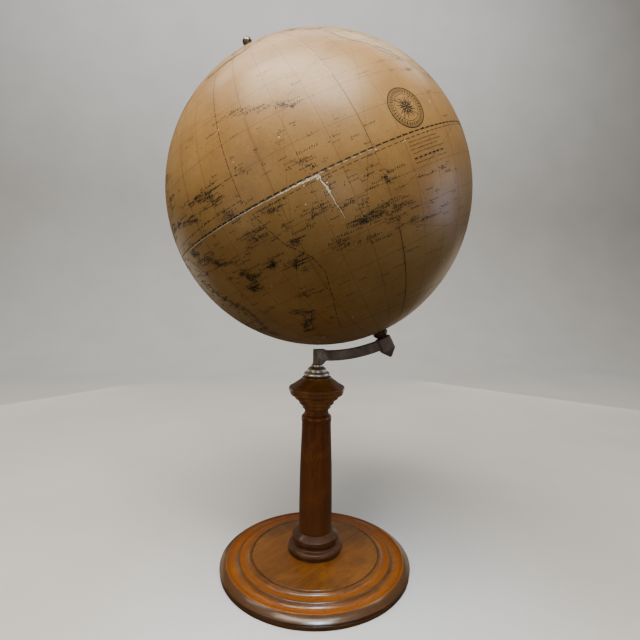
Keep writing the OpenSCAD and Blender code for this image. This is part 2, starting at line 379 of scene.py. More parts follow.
def polished_wood(name, dark, middle, light, along=2, scale=1.0, gloss=0.22, wear=None, turn=None,
                  stain_and_shade=None, varnish=0.85):
    finish = Finish(name, Coat_Roughness=gloss, Coat_IOR=1.45, Specular_IOR_Level=0.22)
    place = finish.place()
    grain_place = place
    if turn is not None:
        grain_place = finish.node("ShaderNodeVectorRotate", {"rotation_type": "Z_AXIS"},
                                  {"Vector": place, "Angle": turn})
    wander, bands, streaks, pores = wood_grain(finish, grain_place, along, scale)
    tone = finish.ramp(bands * 0.46 + streaks * 0.30 + wander * 0.34,
                       [(0.34, dark), (0.55, middle), (0.80, light)])
    patch = finish.rise(finish.noise(place, 24.0, 3.0, 0.55, 0.8), 0.50, 0.66)
    tone = finish.mix(tone, ink(*light), patch * 0.45)
    rubbed = None
    if wear is not None:
        # Lighter amber where the wear mask says; on the foot that mask also carries painted highlights
        # along two crisp edges.
        rubbed = wear(finish, place)
        tone = finish.mix(tone, ink(light[0] * 1.0, light[1] * 0.70, light[2] * 0.35), rubbed)
    # Darker purple-brown where this mask says: a real stain on the foot, painted shade on the lower shaft.
    if stain_and_shade is not None:
        tone = finish.mix(tone, ink(dark[0] * 0.8, dark[1] * 1.1, dark[2] * 2.2), stain_and_shade(finish, place))
    tone = finish.mix(tone, ink(*[c * 0.35 for c in dark]), pores * 0.55)
    finish.feed("Base Color", tone)
    dull = finish.noise(place, 60.0, 4.0, 0.6)
    shine = varnish - finish.rise(dull, 0.5, 0.75) * 0.25
    if rubbed is None:
        finish.feed("Roughness", 0.36 + dull * 0.22)
        finish.feed("Coat Weight", shine)
    else:
        finish.feed("Roughness", 0.36 + dull * 0.22 + rubbed * 0.30)
        finish.feed("Coat Weight", shine - rubbed * 1.05)
    relief = streaks * 0.4 - pores * 0.8 + finish.noise(place, 240.0, 2.0, 0.5) * 0.12
    finish.feed("Normal", finish.bump(relief, 0.22, 0.15))
    return finish


print("wood recipe ready")

# %% [markdown]
# ## The round foot
#
# The foot is one turned disc: a thin straight side, a broad sloping shoulder, two hollow coves divided
# by a small bead, and a flat centre edged by a fine groove. The coves were rubbed back to amber over the
# years while the shoulder stayed dark, and two crisp edges carry thin painted highlights in lighter
# amber; both follow the distance from the centre. The driving sizes are the foot's radius and the height
# of its top, both read from the frame.

# %% Outline of the foot
foot_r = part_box("foot_plate")[1].x / MM
foot_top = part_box("foot_plate")[1].z / MM
well_r, well_z, bore_r, socket_r, socket_z, hollow = 11, 5, 3.3, 10.15, 10, 1
foot_outline = [(bore_r, well_z), (well_r, well_z), (well_r, hollow), (foot_r - 22, hollow),
                (foot_r - 20, 0), (foot_r - 2.2, 0)]
foot_outline += arc(foot_r - 2.2, 1.4, 1.4, -90, 0, 5)
foot_outline += [(foot_r - 0.8, 4.8), (foot_r - 2, 5.6), (foot_r - 2, 6.4), (foot_r - 0.5, 6.9)]
foot_outline += arc(foot_r - 14.04, -6.64, 19.85, 45, 72, 14)
foot_outline += [(foot_r - 8.3, 12.4)]
foot_outline += arc(foot_r - 15.1, 16.9, 7.2, -32, -138, 14)
foot_outline += arc(foot_r - 23.6, 12.9, 1.9, 20, 130, 8)
foot_outline += arc(foot_r - 30.2, 19.3, 5.6, -62, -136, 10)
foot_outline += [(foot_r - 34.8, 16.2), (foot_r - 37.8, 16.4), (foot_r - 38.4, 14.8), (foot_r - 39, 16.4),
                 (foot_r - 39.6, 16.7)]
foot_outline += [(32, foot_top), (socket_r, foot_top), (socket_r, socket_z), (bore_r, socket_z)]

print("foot outline:", len(foot_outline), "points")


# %% Wear, painted edge highlights and stain on the foot, and the foot
def from_middle(finish, place):
    """Distance in mm from the column's axis."""
    return finish.vector("LENGTH", finish.vector("MULTIPLY", place, (1, 1, 0))) * (1 / MM)


def foot_wear_and_highlights(finish, place):
    out = from_middle(finish, place)
    patchy = finish.rise(finish.noise(place, 34.0, 3.0, 0.6), 0.25, 0.65)
    coves = finish.hill(out, foot_r - 14.2, 6.6) * 0.70 + finish.hill(out, foot_r - 28.6, 4.6) * 0.70
    # painted highlights: thin lighter lines on the cove's lip and on the bead's inner edge
    painted_edge_highlights = finish.hill(out, foot_r - 8.8, 0.9) * 0.9 + finish.hill(out, foot_r - 24.9, 0.8) * 0.9
    middle = 1 - finish.rise(out, 22.0, 70.0)
    return (coves + painted_edge_highlights) * (0.55 + patchy * 0.45) + middle * patchy * 0.25


def foot_stain(finish, place):
    out = from_middle(finish, place)
    shoulder = finish.rise(out, foot_r - 8.6, foot_r - 6.6)
    bead = finish.hill(out, foot_r - 22.6, 2.6)
    groove = finish.hill(out, foot_r - 37.4, 3.0)
    cloud = finish.noise(place, 28.0, 3.0, 0.6)
    return shoulder * (0.62 + cloud * 0.36) + bead * 0.55 + groove * 0.42


foot_wood = polished_wood(
    "foot wood", (0.052, 0.016, 0.002), (0.132, 0.044, 0.004), (0.262, 0.096, 0.007),
    along=0, scale=1.35, gloss=0.17, wear=foot_wear_and_highlights, turn=math.radians(-38), stain_and_shade=foot_stain)
foot = lathe("foot", foot_outline, "stand", foot_wood, round_mm=0.5, turns=256)
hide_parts("foot_plate")

# %% [markdown]
# ## Base moulding, shaft and capital
#
# The column is three turned pieces threaded on one steel rod. A dark ring with a fat torus and a
# sloping collar hides the joint with the foot. The shaft is redder and swells slightly towards its
# base, and its colour is painted darker towards the base as shade. The capital steps outwards in
# small beads to a wide rim, then slopes back like a roof.

# %% Column outlines
shaft_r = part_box("column_shaft")[1].x / MM
column_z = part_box("column_ring")[1].z / MM
capital_low, capital_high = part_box("capital")
capital_z, ferrule_z, rim_r = capital_low.z / MM, capital_high.z / MM, capital_high.x / MM
tenon_r, top_tenon_r, top_tenon_h, glue = 10, 8, 9, 0.15

ring_outline = [(tenon_r + glue, foot_top), (31, foot_top)]
ring_outline += arc(28.7, 24.4, 4.4, -70, 84, 18)
ring_outline += [(27.4, 29.4), (26.6, 30), (26.6, 33.4), (27.4, 34), (28, 34.8), (28, 39.2), (27.6, 39.8)]
ring_outline += [(shaft_r + 0.4, column_z), (tenon_r + glue, column_z)]

shaft_outline = [(bore_r, socket_z + 0.3), (tenon_r, socket_z + 0.3), (tenon_r, column_z),
                 (shaft_r, column_z)]
shaft_outline += [(shaft_r - 0.05, 76), (shaft_r - 0.35, 104), (shaft_r - 0.8, 127), (shaft_r - 1.6, 150)]
shaft_outline += [(shaft_r - 2.35, 170), (shaft_r - 2.5, 178), (shaft_r - 2.1, 179.2)]
shaft_outline += arc(shaft_r - 6.1, 183, 4.4, -20, 80, 16)
shaft_outline += [(shaft_r - 4.9, 187.6), (shaft_r - 4.9, 189), (shaft_r - 5.4, 189.4),
                  (shaft_r - 5.6, capital_z)]
shaft_outline += [(top_tenon_r, capital_z), (top_tenon_r, capital_z + top_tenon_h)]
shaft_outline += [(bore_r, capital_z + top_tenon_h)]

capital_outline = [(bore_r, capital_z + top_tenon_h + 0.3),
                   (top_tenon_r + glue, capital_z + top_tenon_h + 0.3)]
capital_outline += [(top_tenon_r + glue, capital_z), (14.1, capital_z), (14.1, 191.8)]
capital_outline += arc(17.4, 191.8, 3.3, 180, 108, 8)
capital_outline += [(16.2, 195.6), (17.2, 196.2), (17.2, 198.6), (16.7, 199.4)]
capital_outline += arc(17.6, 203.1, 3.7, -60, 0, 8)
capital_outline += [(20.4, 204), (20.4, 205.2), (21.6, 205.6)]
capital_outline += arc(22.9, 209.2, 3.5, -50, 10, 8)
capital_outline += [(25.4, 210.4), (25.4, 211.4), (27, 211.6)]
capital_outline += arc(rim_r - 5.2, 214.6, 3.9, -48, 10, 8)
capital_outline += [(rim_r - 2.2, 215.8), (rim_r - 2.2, 216.4), (rim_r - 0.6, 216.8), (rim_r, 217.4),
                    (rim_r, 219.8)]
capital_outline += arc(rim_r - 1.2, 219.9, 1.2, 0, 60, 5)
capital_outline += [(27.6, 224), (22.2, 227.8), (18.4, 230.6), (17.4, 231.2), (17.4, ferrule_z),
                    (bore_r, ferrule_z)]

print("outline points:", len(ring_outline), len(shaft_outline), len(capital_outline))


# %% Woods of the column, and its three pieces
def edge_wear(*rings):
    """Wear that shows at some heights of a turned piece: pairs of height and half width in mm."""
    def wear(finish, place):
        up = place.part(2) * (1 / MM)
        rubbed = finish.rise(finish.noise(place, 60.0, 3.0, 0.6), 0.35, 0.7)
        total = finish.hill(up, *rings[0])
        for ring in rings[1:]:
            total = total + finish.hill(up, *ring)
        return total * (0.10 + rubbed * 0.28)
    return wear


def shaft_painted_shade(finish, place):
    """Painted shade: the shaft is coloured darker towards its bottom, fading out by 168 mm up."""
    up = place.part(2) * (1 / MM)
    # painted shade: full below 46 mm, gone above 168 mm
    return (1 - finish.rise(up, 46.0, 168.0)) * 0.72


dark_wood = polished_wood(
    "dark moulding wood", (0.020, 0.007, 0.002), (0.052, 0.018, 0.005), (0.104, 0.040, 0.011),
    along=2, scale=1.5, gloss=0.13, wear=edge_wear((39.8, 1.0), (34.0, 0.7), (26.5, 2.0)), varnish=0.45)
shaft_wood = polished_wood(
    "red shaft wood", (0.060, 0.014, 0.001), (0.145, 0.036, 0.002), (0.270, 0.080, 0.008),
    along=2, scale=1.5, gloss=0.12, wear=edge_wear((188.2, 1.5), (185.2, 3.2)), stain_and_shade=shaft_painted_shade)
column_ring = lathe("base_moulding", ring_outline, "stand", dark_wood, round_mm=0.5)
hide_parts("column_ring")
shaft = lathe("shaft", shaft_outline, "stand", shaft_wood, round_mm=0.8)
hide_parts("column_shaft")
capital_wear = edge_wear((217.0, 1.2), (205.0, 1.0), (211.0, 0.8), (192.5, 1.0))
capital_wood = polished_wood(
    "capital wood", (0.075, 0.024, 0.003), (0.180, 0.064, 0.010), (0.340, 0.135, 0.024),
    along=2, scale=1.5, gloss=0.13, wear=capital_wear)
capital = lathe("stepped_capital", capital_outline, "stand", capital_wood, round_mm=0.3)
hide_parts("capital")

# %% [markdown]
# ## Nickel and iron
#
# The cap on the column, the sleeve and the knob are nickel-plated brass. The plate is thin and old: it
# is bright on the high spots, yellow-grey where it is thin, and dotted with dark pits. The arm is cast
# iron that was browned, so it is nearly black-brown, rough and only a little metallic, with bare steel
# at its edges.

# %% Metal finishes
def plated(name, bright, dim, roughness, pits=0.66):
    finish = Finish(name, Metallic=1.0)
    place = finish.place()
    cloud = finish.noise(place, 90.0, 4.0, 0.6)
    spots = finish.rise(finish.noise(place, 900.0, 2.0, 0.6), pits, pits + 0.06)
    tone = finish.mix(ink(*bright), ink(*dim), finish.rise(cloud, 0.42, 0.68))
    finish.feed("Base Color", finish.mix(tone, ink(0.05, 0.045, 0.035), spots * 0.8))
    finish.feed("Roughness", roughness + cloud * 0.16 + spots * 0.3)
    scratches = finish.noise(finish.vector("MULTIPLY", place, (2600, 2600, 260)), 1.0, 2.0, 0.5)
    finish.feed("Normal", finish.bump(scratches * 0.3 - spots, 0.12, 0.05))
    return finish


def browned_iron():
    finish = Finish("browned iron", Specular_IOR_Level=0.5)
    place = finish.place()
    scale_cloud = finish.noise(place, 55.0, 5.0, 0.62, 0.4)
    grit = finish.noise(place, 420.0, 4.0, 0.6)
    tone = finish.ramp(scale_cloud, [(0.30, (0.085, 0.068, 0.060)), (0.52, (0.168, 0.135, 0.118)),
                                     (0.74, (0.270, 0.222, 0.194))])
    edge = finish.node("ShaderNodeNewGeometry", {}, {}, "Pointiness")
    bare = finish.rise(edge, 0.53, 0.60) * finish.rise(grit, 0.38, 0.62)
    tone = finish.mix(tone, ink(0.30, 0.28, 0.26), bare * 0.7)
    rust = finish.rise(finish.noise(place, 130.0, 4.0, 0.65), 0.60, 0.72)
    finish.feed("Base Color", finish.mix(tone, ink(0.10, 0.040, 0.016), rust * 0.45))
    finish.feed("Metallic", 0.45 + bare * 0.5)
    finish.feed("Roughness", 0.42 + scale_cloud * 0.20 + rust * 0.15 - bare * 0.12)
    finish.feed("Normal", finish.bump(grit * 0.6 + scale_cloud, 0.30, 0.25))
    return finish


tarnished = plated("tarnished nickel", (0.20, 0.175, 0.145), (0.10, 0.08, 0.06), 0.20)
nickel = plated("worn nickel", (0.86, 0.82, 0.74), (0.60, 0.54, 0.43), 0.24)
steel = plated("turned steel", (0.50, 0.50, 0.50), (0.30, 0.29, 0.28), 0.30)
brass = plated("dull brass", (0.55, 0.38, 0.14), (0.30, 0.19, 0.07), 0.32)
iron = browned_iron()
print("metals:", ", ".join(metal.material.name for metal in (tarnished, nickel, steel, brass, iron)))

# %% [markdown]
# ## The cap on the column
#
# The cap is a nut in disguise: it clamps the column on its tie rod and the arm turns just above it. A
# bulged flange, a dark waist, a small dome and a bead are turned in one piece.

# %% Ferrule
arm_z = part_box("arm")[0].z / MM
ferrule_outline = [(3.05, ferrule_z), (13.6, ferrule_z), (14.2, 233)]
ferrule_outline += arc(12.4, 235.8, 3.3, -50, 40, 14)
ferrule_outline += [(14.2, 238.2), (12.2, 238.6), (11.4, 239.4), (11.3, 240.4)]
ferrule_outline += arc(6.4, 239.6, 5.2, 14, 66, 10)
ferrule_outline += [(6.9, 245.4)]
ferrule_outline += arc(5.6, 246.6, 1.3, -50, 70, 10)
ferrule_outline += [(5.4, arm_z - 0.1), (3.05, arm_z - 0.1)]
ferrule = lathe("nickel_cap", ferrule_outline, "stand", nickel, round_mm=0.25, turns=128)
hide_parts("ferrule")

# %% [markdown]
# ## The iron arm
#
# The arm is one casting: a hub that drops over the pivot, a flat bar that bends up under the ball, and
# a hipped block square to the globe's axis. The bar is swept along a curve with three control points.
# Its section is a rectangle with rounded corners, so no separate bevel is needed along its length.

# %% The bar of the arm
def below(u, v):
    """A point near the south pole: u mm across the axis to the outer side, v mm outwards from the ball."""
    return centre + across * (u * MM) - north * (ball_r + v * MM)


def rounded_section(half_tall, half_thick, corner, steps=4):
    section = []
    for quarter in range(4):
        sx, sy = ((1, 1), (-1, 1), (-1, -1), (1, -1))[quarter]
        for k in range(steps + 1):
            a = math.pi / 2 * (quarter + k / steps)
            section.append((sx * (half_tall - corner) + corner * math.cos(a),
                            sy * (half_thick - corner) + corner * math.sin(a)))
    return section


def swept_bar(path, section):
    """Rings of the section along a path that lies in the XZ plane."""
    points, faces = [], []
    count = len(section)
    for i, spot in enumerate(path):
        ahead = (path[min(i + 1, len(path) - 1)] - path[max(i - 1, 0)]).normalized()
        lift = Vector((-ahead.z, 0, ahead.x))
        points += [spot + lift * (a * MM) + Vector((0, b * MM, 0)) for a, b in section]
    for i in range(len(path) - 1):
        for k in range(count):
            n = (k + 1) % count
            faces.append((i * count + k, i * count + n, (i + 1) * count + n, (i + 1) * count + k))
    faces.append(tuple(range(count - 1, -1, -1)))
    faces.append(tuple(range((len(path) - 1) * count, len(path) * count)))
    return points, faces


bar_h, bar_t, hub_len = 12.2, 8, 11.4
block_w, block_t, chamfer = 17.6, 14, 2.3
block_in, block_out, block_tip = 11.4, 27.5, 37
bend = [Vector((hub_len - 4, 0, 258.2)) * MM, Vector((42, 0, 256.4)) * MM, below(-block_w / 2 + 3, 18)]
bar_path = [bend[0] * (1 - t) ** 2 + bend[1] * 2 * t * (1 - t) + bend[2] * t ** 2
            for t in (i / 40 for i in range(41))]
bar_points, bar_faces = swept_bar(bar_path, rounded_section(bar_h / 2, bar_t / 2, 0.9))
print("bar:", len(bar_points), "points along", len(bar_path), "rings")


# %% Hub, post and block

def joined(*parts):
    """Several lists of points and faces as one."""
    points, faces = [], []
    for more_points, more_faces in parts:
        faces += [tuple(i + len(points) for i in face) for face in more_faces]
        points += more_points
    return points, faces


def prism(outline, half_thick_mm):
    """An outline in the XZ plane, in mm, made solid across Y."""
    n = len(outline)
    points = [Vector((x, s * half_thick_mm, z)) * MM for s in (-1, 1) for x, z in outline]
    faces = [tuple(range(n)), tuple(range(2 * n - 1, n - 1, -1))]
    faces += [(i, n + i, n + (i + 1) % n, (i + 1) % n) for i in range(n)]
    return points, faces


def hipped_block():
    """Eight-sided bar along the axis that closes to a small hipped point."""
    w, t, c = block_w / 2, block_t / 2, chamfer
    ring = [(-w + c, -t), (w - c, -t), (w, -t + c), (w, t - c), (w - c, t), (-w + c, t), (-w, t - c),
            (-w, -t + c)]
    levels = [(block_in, 1.0), (block_out, 1.0), (block_tip - 0.6, 0.20), (block_tip, 0.14)]
    points = [below(u * size, v) + Vector((0, y * size * MM, 0)) for v, size in levels for u, y in ring]
    faces = [(8 * k + i, 8 * k + (i + 1) % 8, 8 * k + 8 + (i + 1) % 8, 8 * k + 8 + i) for k in range(3)
             for i in range(8)]
    faces += [tuple(range(7, -1, -1)), tuple(range(24, 32))]
    return points, faces


def post(radius, bottom, top, turns=48):
    points = [Vector((radius * math.cos(a), radius * math.sin(a), z)) * MM
              for z in (bottom, top) for a in (2 * math.pi * k / turns for k in range(turns))]
    faces = [(k, (k + 1) % turns, turns + (k + 1) % turns, turns + k) for k in range(turns)]
    faces += [tuple(range(turns - 1, -1, -1)), tuple(range(turns, 2 * turns))]
    return points, faces


print("block's faces:", len(hipped_block()[1]))

# %% Arm
hub_top = 265.4
hub = prism([(0, 252.4), (hub_len + 2.6, 252.4), (hub_len, 264.2), (hub_len - 3, hub_top), (0, hub_top)],
            5)
neck = prism([(0, arm_z), (7.4, arm_z), (8.6, 250), (hub_len, 252.6), (0, 252.6)], bar_t / 2)
pivot = post(5, arm_z, hub_top)
arm_points, arm_faces = joined((bar_points, bar_faces), hub, neck, pivot, hipped_block())
arm = mesh_piece("iron_arm", arm_points, arm_faces, "arm", iron)
round_over = arm.modifiers.new("cast_edges", "BEVEL")
round_over.width = 0.55 * MM
round_over.segments = 3
round_over.limit_method = "ANGLE"
round_over.angle_limit = math.radians(24)
arm.modifiers.new("even_normals", "WEIGHTED_NORMAL")
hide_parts("arm")
print("arm:", len(arm_points), "points before its edges are rounded")

# %% [markdown]
# ## Fittings on the axis
#
# Below the ball a collar of dark turned horn spaces the ball from the block. Above it a thin nickel
# sleeve and a round knob finish the rod. They share the globe's axis, so the lathe is told to turn them
# about it. Along that axis every distance is counted outwards from the ball's surface.

# %% Collar, sleeve and knob
collar_finish = polished_wood("collar horn", (0.018, 0.006, 0.002), (0.052, 0.018, 0.006),
                              (0.096, 0.036, 0.012), scale=1.5, gloss=0.16)
south_collar_outline = [(2.55, 1.9), (8.2, 1.9)] + arc(4.6, 4.6, 4.5, -40, 30, 10) + [(7.2, 8.6),
    (6.2, 9.6), (6, 11.4), (2.55, 11.4)]
collar = lathe("south_collar_turned", south_collar_outline, "arm", collar_finish,
               round_mm=0.3, turns=96,
               base=centre - north * ball_r, axis=-north)
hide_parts("south_collar")
sleeve_outline = [(2.55, 1.9), (4.6, 1.9), (4.6, 3.4), (3.7, 4.2), (3.7, 11.4), (4.4, 12), (4.4, 12.9),
                  (2.55, 12.9)]
sleeve = lathe("north_sleeve_turned", sleeve_outline, "arm", nickel, round_mm=0.25, turns=96,
               base=centre + north * ball_r, axis=north)
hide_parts("north_sleeve")
knob_outline = [(2.55, 12.9), (3.6, 12.9), (3.6, 14.9)] + arc(0, 18.8, 5.2, -44, 89, 24) + [(0.05, 17.7),
    (2.55, 17.7)]
knob = lathe("ball_knob", knob_outline, "arm", tarnished, round_mm=0.12, turns=96,
             base=centre + north * ball_r, axis=north)
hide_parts("finial_knob")

# %% [markdown]
# ## Parts that keep their measured shape
#
# Rods, pins, washers, nuts and everything inside the ball are already right, so they only get a finish.
# The inside is pale turned wood and moulded pulp: grey-brown fibres pressed in a mould, with flecks of
# print.

# %% Finishes for the plain parts
def pale_wood():
    finish = Finish("pale beech")
    place = finish.place()
    wander, bands, streaks, pores = wood_grain(finish, place, 2, 1.4)
    tone = finish.ramp(bands * 0.5 + streaks * 0.3 + wander * 0.2,
                       [(0.35, (0.36, 0.22, 0.10)), (0.55, (0.52, 0.35, 0.18)),
                        (0.75, (0.62, 0.45, 0.26))])
    finish.feed("Base Color", finish.mix(tone, ink(0.20, 0.11, 0.05), pores * 0.5))
    finish.feed("Roughness", 0.55 + streaks * 0.2)
    finish.feed("Normal", finish.bump(streaks * 0.5 - pores, 0.3, 0.2))
    return finish


def moulded_pulp():
    finish = Finish("moulded pulp", Specular_IOR_Level=0.25)
    place = finish.place()
    fibres = finish.noise(finish.vector("MULTIPLY", place, (700, 700, 160)), 1.0, 3.0, 0.6, 1.2)
    lumps = finish.noise(place, 60.0, 5.0, 0.6)
    flecks = finish.rise(finish.noise(place, 520.0, 1.0, 0.5), 0.66, 0.70)
    tone = finish.ramp(lumps, [(0.3, (0.22, 0.17, 0.11)), (0.55, (0.33, 0.27, 0.19)),
                               (0.75, (0.42, 0.36, 0.27))])
    finish.feed("Base Color", finish.mix(tone, ink(0.07, 0.06, 0.06), flecks * 0.6))
    finish.feed("Roughness", 0.80 + fibres * 0.15)
    finish.feed("Normal", finish.bump(fibres * 0.5 + lumps, 0.5, 0.6))
    return finish


def worn_leather():
    finish = Finish("washer leather", Specular_IOR_Level=0.3)
    place = finish.place()
    cells = finish.node("ShaderNodeTexVoronoi", {"feature": "DISTANCE_TO_EDGE"},
                        {"Vector": place, "Scale": 1400.0})
    cloud = finish.noise(place, 300.0, 4.0, 0.6)
    creases = 1 - finish.rise(cells, 0.0, 0.12)
    tone = finish.ramp(cloud, [(0.3, (0.045, 0.022, 0.010)), (0.7, (0.120, 0.062, 0.026))])
    finish.feed("Base Color", finish.mix(tone, ink(0.02, 0.01, 0.006), creases * 0.6))
    finish.feed("Roughness", 0.62 + cloud * 0.2)
    finish.feed("Normal", finish.bump(cloud - creases * 0.4, 0.4, 0.08))
    return finish


beech, pulp, leather = pale_wood(), moulded_pulp(), worn_leather()
print("plain finishes:", ", ".join(plain.material.name for plain in (beech, pulp, leather)))

# %% Plain parts
plain_parts = {
    steel: ["foot_washer", "foot_nut", "tie_rod", "set_screw", "axis_rod", "axis_pin"],
    brass: ["north_bush", "south_bush"],
    beech: ["equator_hoop", "core_tube", "north_block", "south_block"],
    pulp: ["north_shell", "south_shell"],
    leather: ["south_washer", "north_washer"],
}
for finish, names in plain_parts.items():
    for name in names:
        for slot in frame["nodes"][name].material_slots:
            slot.material = finish.material
print("plain parts finished:", sum(len(names) for names in plain_parts.values()))

# %% [markdown]
# ## From the map to the ball
#
# Everything printed is given as longitude and latitude, as on a real map. The ball's own frame turns
# those into points in space. The first seam of the paper does not lie on Greenwich, so a fixed angle
# separates the map's longitudes from the directions round the axis. NumPy does this for thousands of
# points in one step.

# %% Longitude and latitude to points
GREENWICH = 58.3
FIRST_SEAM = 8.3
GORE_WIDE = 30
GORE_PAPER = 29.9
GORE_MARGIN = 0.05
rng = np.random.RandomState(1901)


def spokes(route):
    """Unit vectors from the ball's centre for rows of longitude and latitude in degrees."""
    route = np.asarray(route, float).reshape(-1, 2)
    turned, lat = np.radians(route[:, 0] + GREENWICH), np.radians(route[:, 1])
    own = np.stack([np.cos(lat) * np.cos(turned), np.cos(lat) * np.sin(turned), np.sin(lat)], 1)
    return own @ ball_frame


def lifted(unit, lift_mm):
    return np.array(centre) + unit * (ball_r + lift_mm * MM)


def beside(lon, lat, offsets_mm, lean=0.0):
    """Longitude and latitude of small offsets in mm, east and north of one place, turned by lean."""
    offsets = np.asarray(offsets_mm, float)
    c, s = math.cos(lean), math.sin(lean)
    east = offsets[..., 0] * c - offsets[..., 1] * s
    up = offsets[..., 0] * s + offsets[..., 1] * c
    per_degree = ball_r / MM * math.pi / 180
    lats = lat + up / per_degree
    return np.stack([lon + east / (per_degree * np.cos(np.radians(np.clip(lats, -85, 85)))), lats], -1)


def stroke(lon, lat, half_long, half_wide, lean=0.0):
    """The four corners of a flat stroke round one place, with half its length and half its width in mm."""
    corners = [(-half_long, -half_wide), (half_long, -half_wide), (half_long, half_wide),
               (-half_long, half_wide)]
    return beside(lon, lat, corners, lean)


def wrapped(places):
    """The same places with longitudes between -180 and 180."""
    return np.stack([(places[:, 0] + 180) % 360 - 180, places[:, 1]], 1)


def dense(route, step=1.5):
    """The same route with points no further apart than step degrees."""
    route = [np.array(p, float) for p in route]
    out = [route[0]]
    for a, b in zip(route, route[1:]):
        pieces = max(1, int(math.ceil(np.abs(b - a).max() / step)))
        out += [a + (b - a) * k / pieces for k in range(1, pieces + 1)]
    return np.array(out)


print("Greenwich lies", GREENWICH, "degrees round from the arm")

# %% [markdown]
# ## Ink as geometry
#
# Printed lines are finer than any texture that a ball this size could carry, so each line is a real
# ribbon, a fraction of a millimetre wide, lying a few hundredths of a millimetre above the paper. Ink
# gathers ribbons and small patches, and makes them into one mesh at the end. Ribbon edges are found
# with a cross product: straight up from the ball, crossed with the direction of travel, gives the way
# to the side.

# %% Ink
class Ink:
    def __init__(self, name, lift_mm=0.05):
        self.name, self.lift = name, lift_mm
        self.points, self.faces, self.count = [], [], 0

    def add(self, units, faces):
        self.points.append(lifted(units, self.lift))
        self.faces += [tuple(int(i) + self.count for i in face) for face in faces]
        self.count += len(units)

    def line(self, route, width_mm, closed=False):
        unit = spokes(route)
        if len(unit) < 2:
            return
        ahead = np.roll(unit, -1, 0) - np.roll(unit, 1, 0) if closed else np.gradient(unit, axis=0)
        side = np.cross(unit, ahead)
        side /= np.linalg.norm(side, axis=1, keepdims=True) + 1e-12
        half = side * (width_mm * MM / ball_r / 2)
        pair = np.stack([unit - half, unit + half], 1).reshape(-1, 3)
        n = len(unit)
        steps = range(n if closed else n - 1)
        self.add(pair, [(2 * i, 2 * ((i + 1) % n), 2 * ((i + 1) % n) + 1, 2 * i + 1) for i in steps])

    def dashes(self, route, width_mm, dash, gap):
        """Dashes along a route: every so many points drawn, every so many left out."""
        for start in range(0, len(route) - 1, dash + gap):
            self.line(route[start:start + dash + 1], width_mm)

    def patch(self, outline):
        unit = spokes(outline)
        n = len(unit)
        middle = unit.mean(0)
        middle /= np.linalg.norm(middle)
        self.add(np.vstack([unit, middle[None]]), [(i, (i + 1) % n, n) for i in range(n)])

    def bars(self, corners):
        """Many four-cornered strokes at once: an array of longitude and latitude, four corners a stroke."""
        corners = np.asarray(corners)
        units = spokes(corners.reshape(-1, 2))
        self.add(units, np.arange(len(units)).reshape(-1, 4))

    def make(self, finish):
        mesh_piece(self.name, np.vstack(self.points), self.faces, "globe", finish)
        print(f"{self.name}: {len(self.faces)} faces")


print("ink lines can be ruled, dashed or patched")


# %% Three inks
def printers_ink(name, colour, faded, roughness=0.46):
    """Ink under old varnish: it thins to the brown of the paper in places and lies a little glossy."""
    finish = Finish(name, Specular_IOR_Level=0.45)
    place = finish.place()
    thin = finish.rise(finish.noise(place, 70.0, 4.0, 0.6), 0.50, 0.72)
    grain = finish.rise(finish.noise(place, 1300.0, 2.0, 0.5), 0.50, 0.70)
    finish.feed("Base Color", finish.mix(ink(*colour), ink(*faded), thin * 0.32 + grain * 0.12))
    finish.feed("Roughness", roughness + thin * 0.12)
    return finish


black_ink = printers_ink("map ink", (0.009, 0.010, 0.006), (0.040, 0.028, 0.012))
brown_ink = printers_ink("faded line ink", (0.105, 0.052, 0.017), (0.170, 0.088, 0.030))
sea_ink = printers_ink("blue-grey ink", (0.045, 0.060, 0.052), (0.120, 0.090, 0.055))
print("three inks mixed")

# %% [markdown]
# ## Coasts
#
# The coasts are drawn as coarse outlines, a few dozen points for a continent. A real engraved
# coast is crinkled at every scale, so each side is split in half again and again, and every new point
# is pushed sideways by a random part of the side's length. The random numbers are seeded, so the coast
# is the same each time.

# %% Coast outlines
def outline(text):
    """Pairs of longitude and latitude from a line of text."""
    return [tuple(float(n) for n in pair.split(",")) for pair in text.split()]


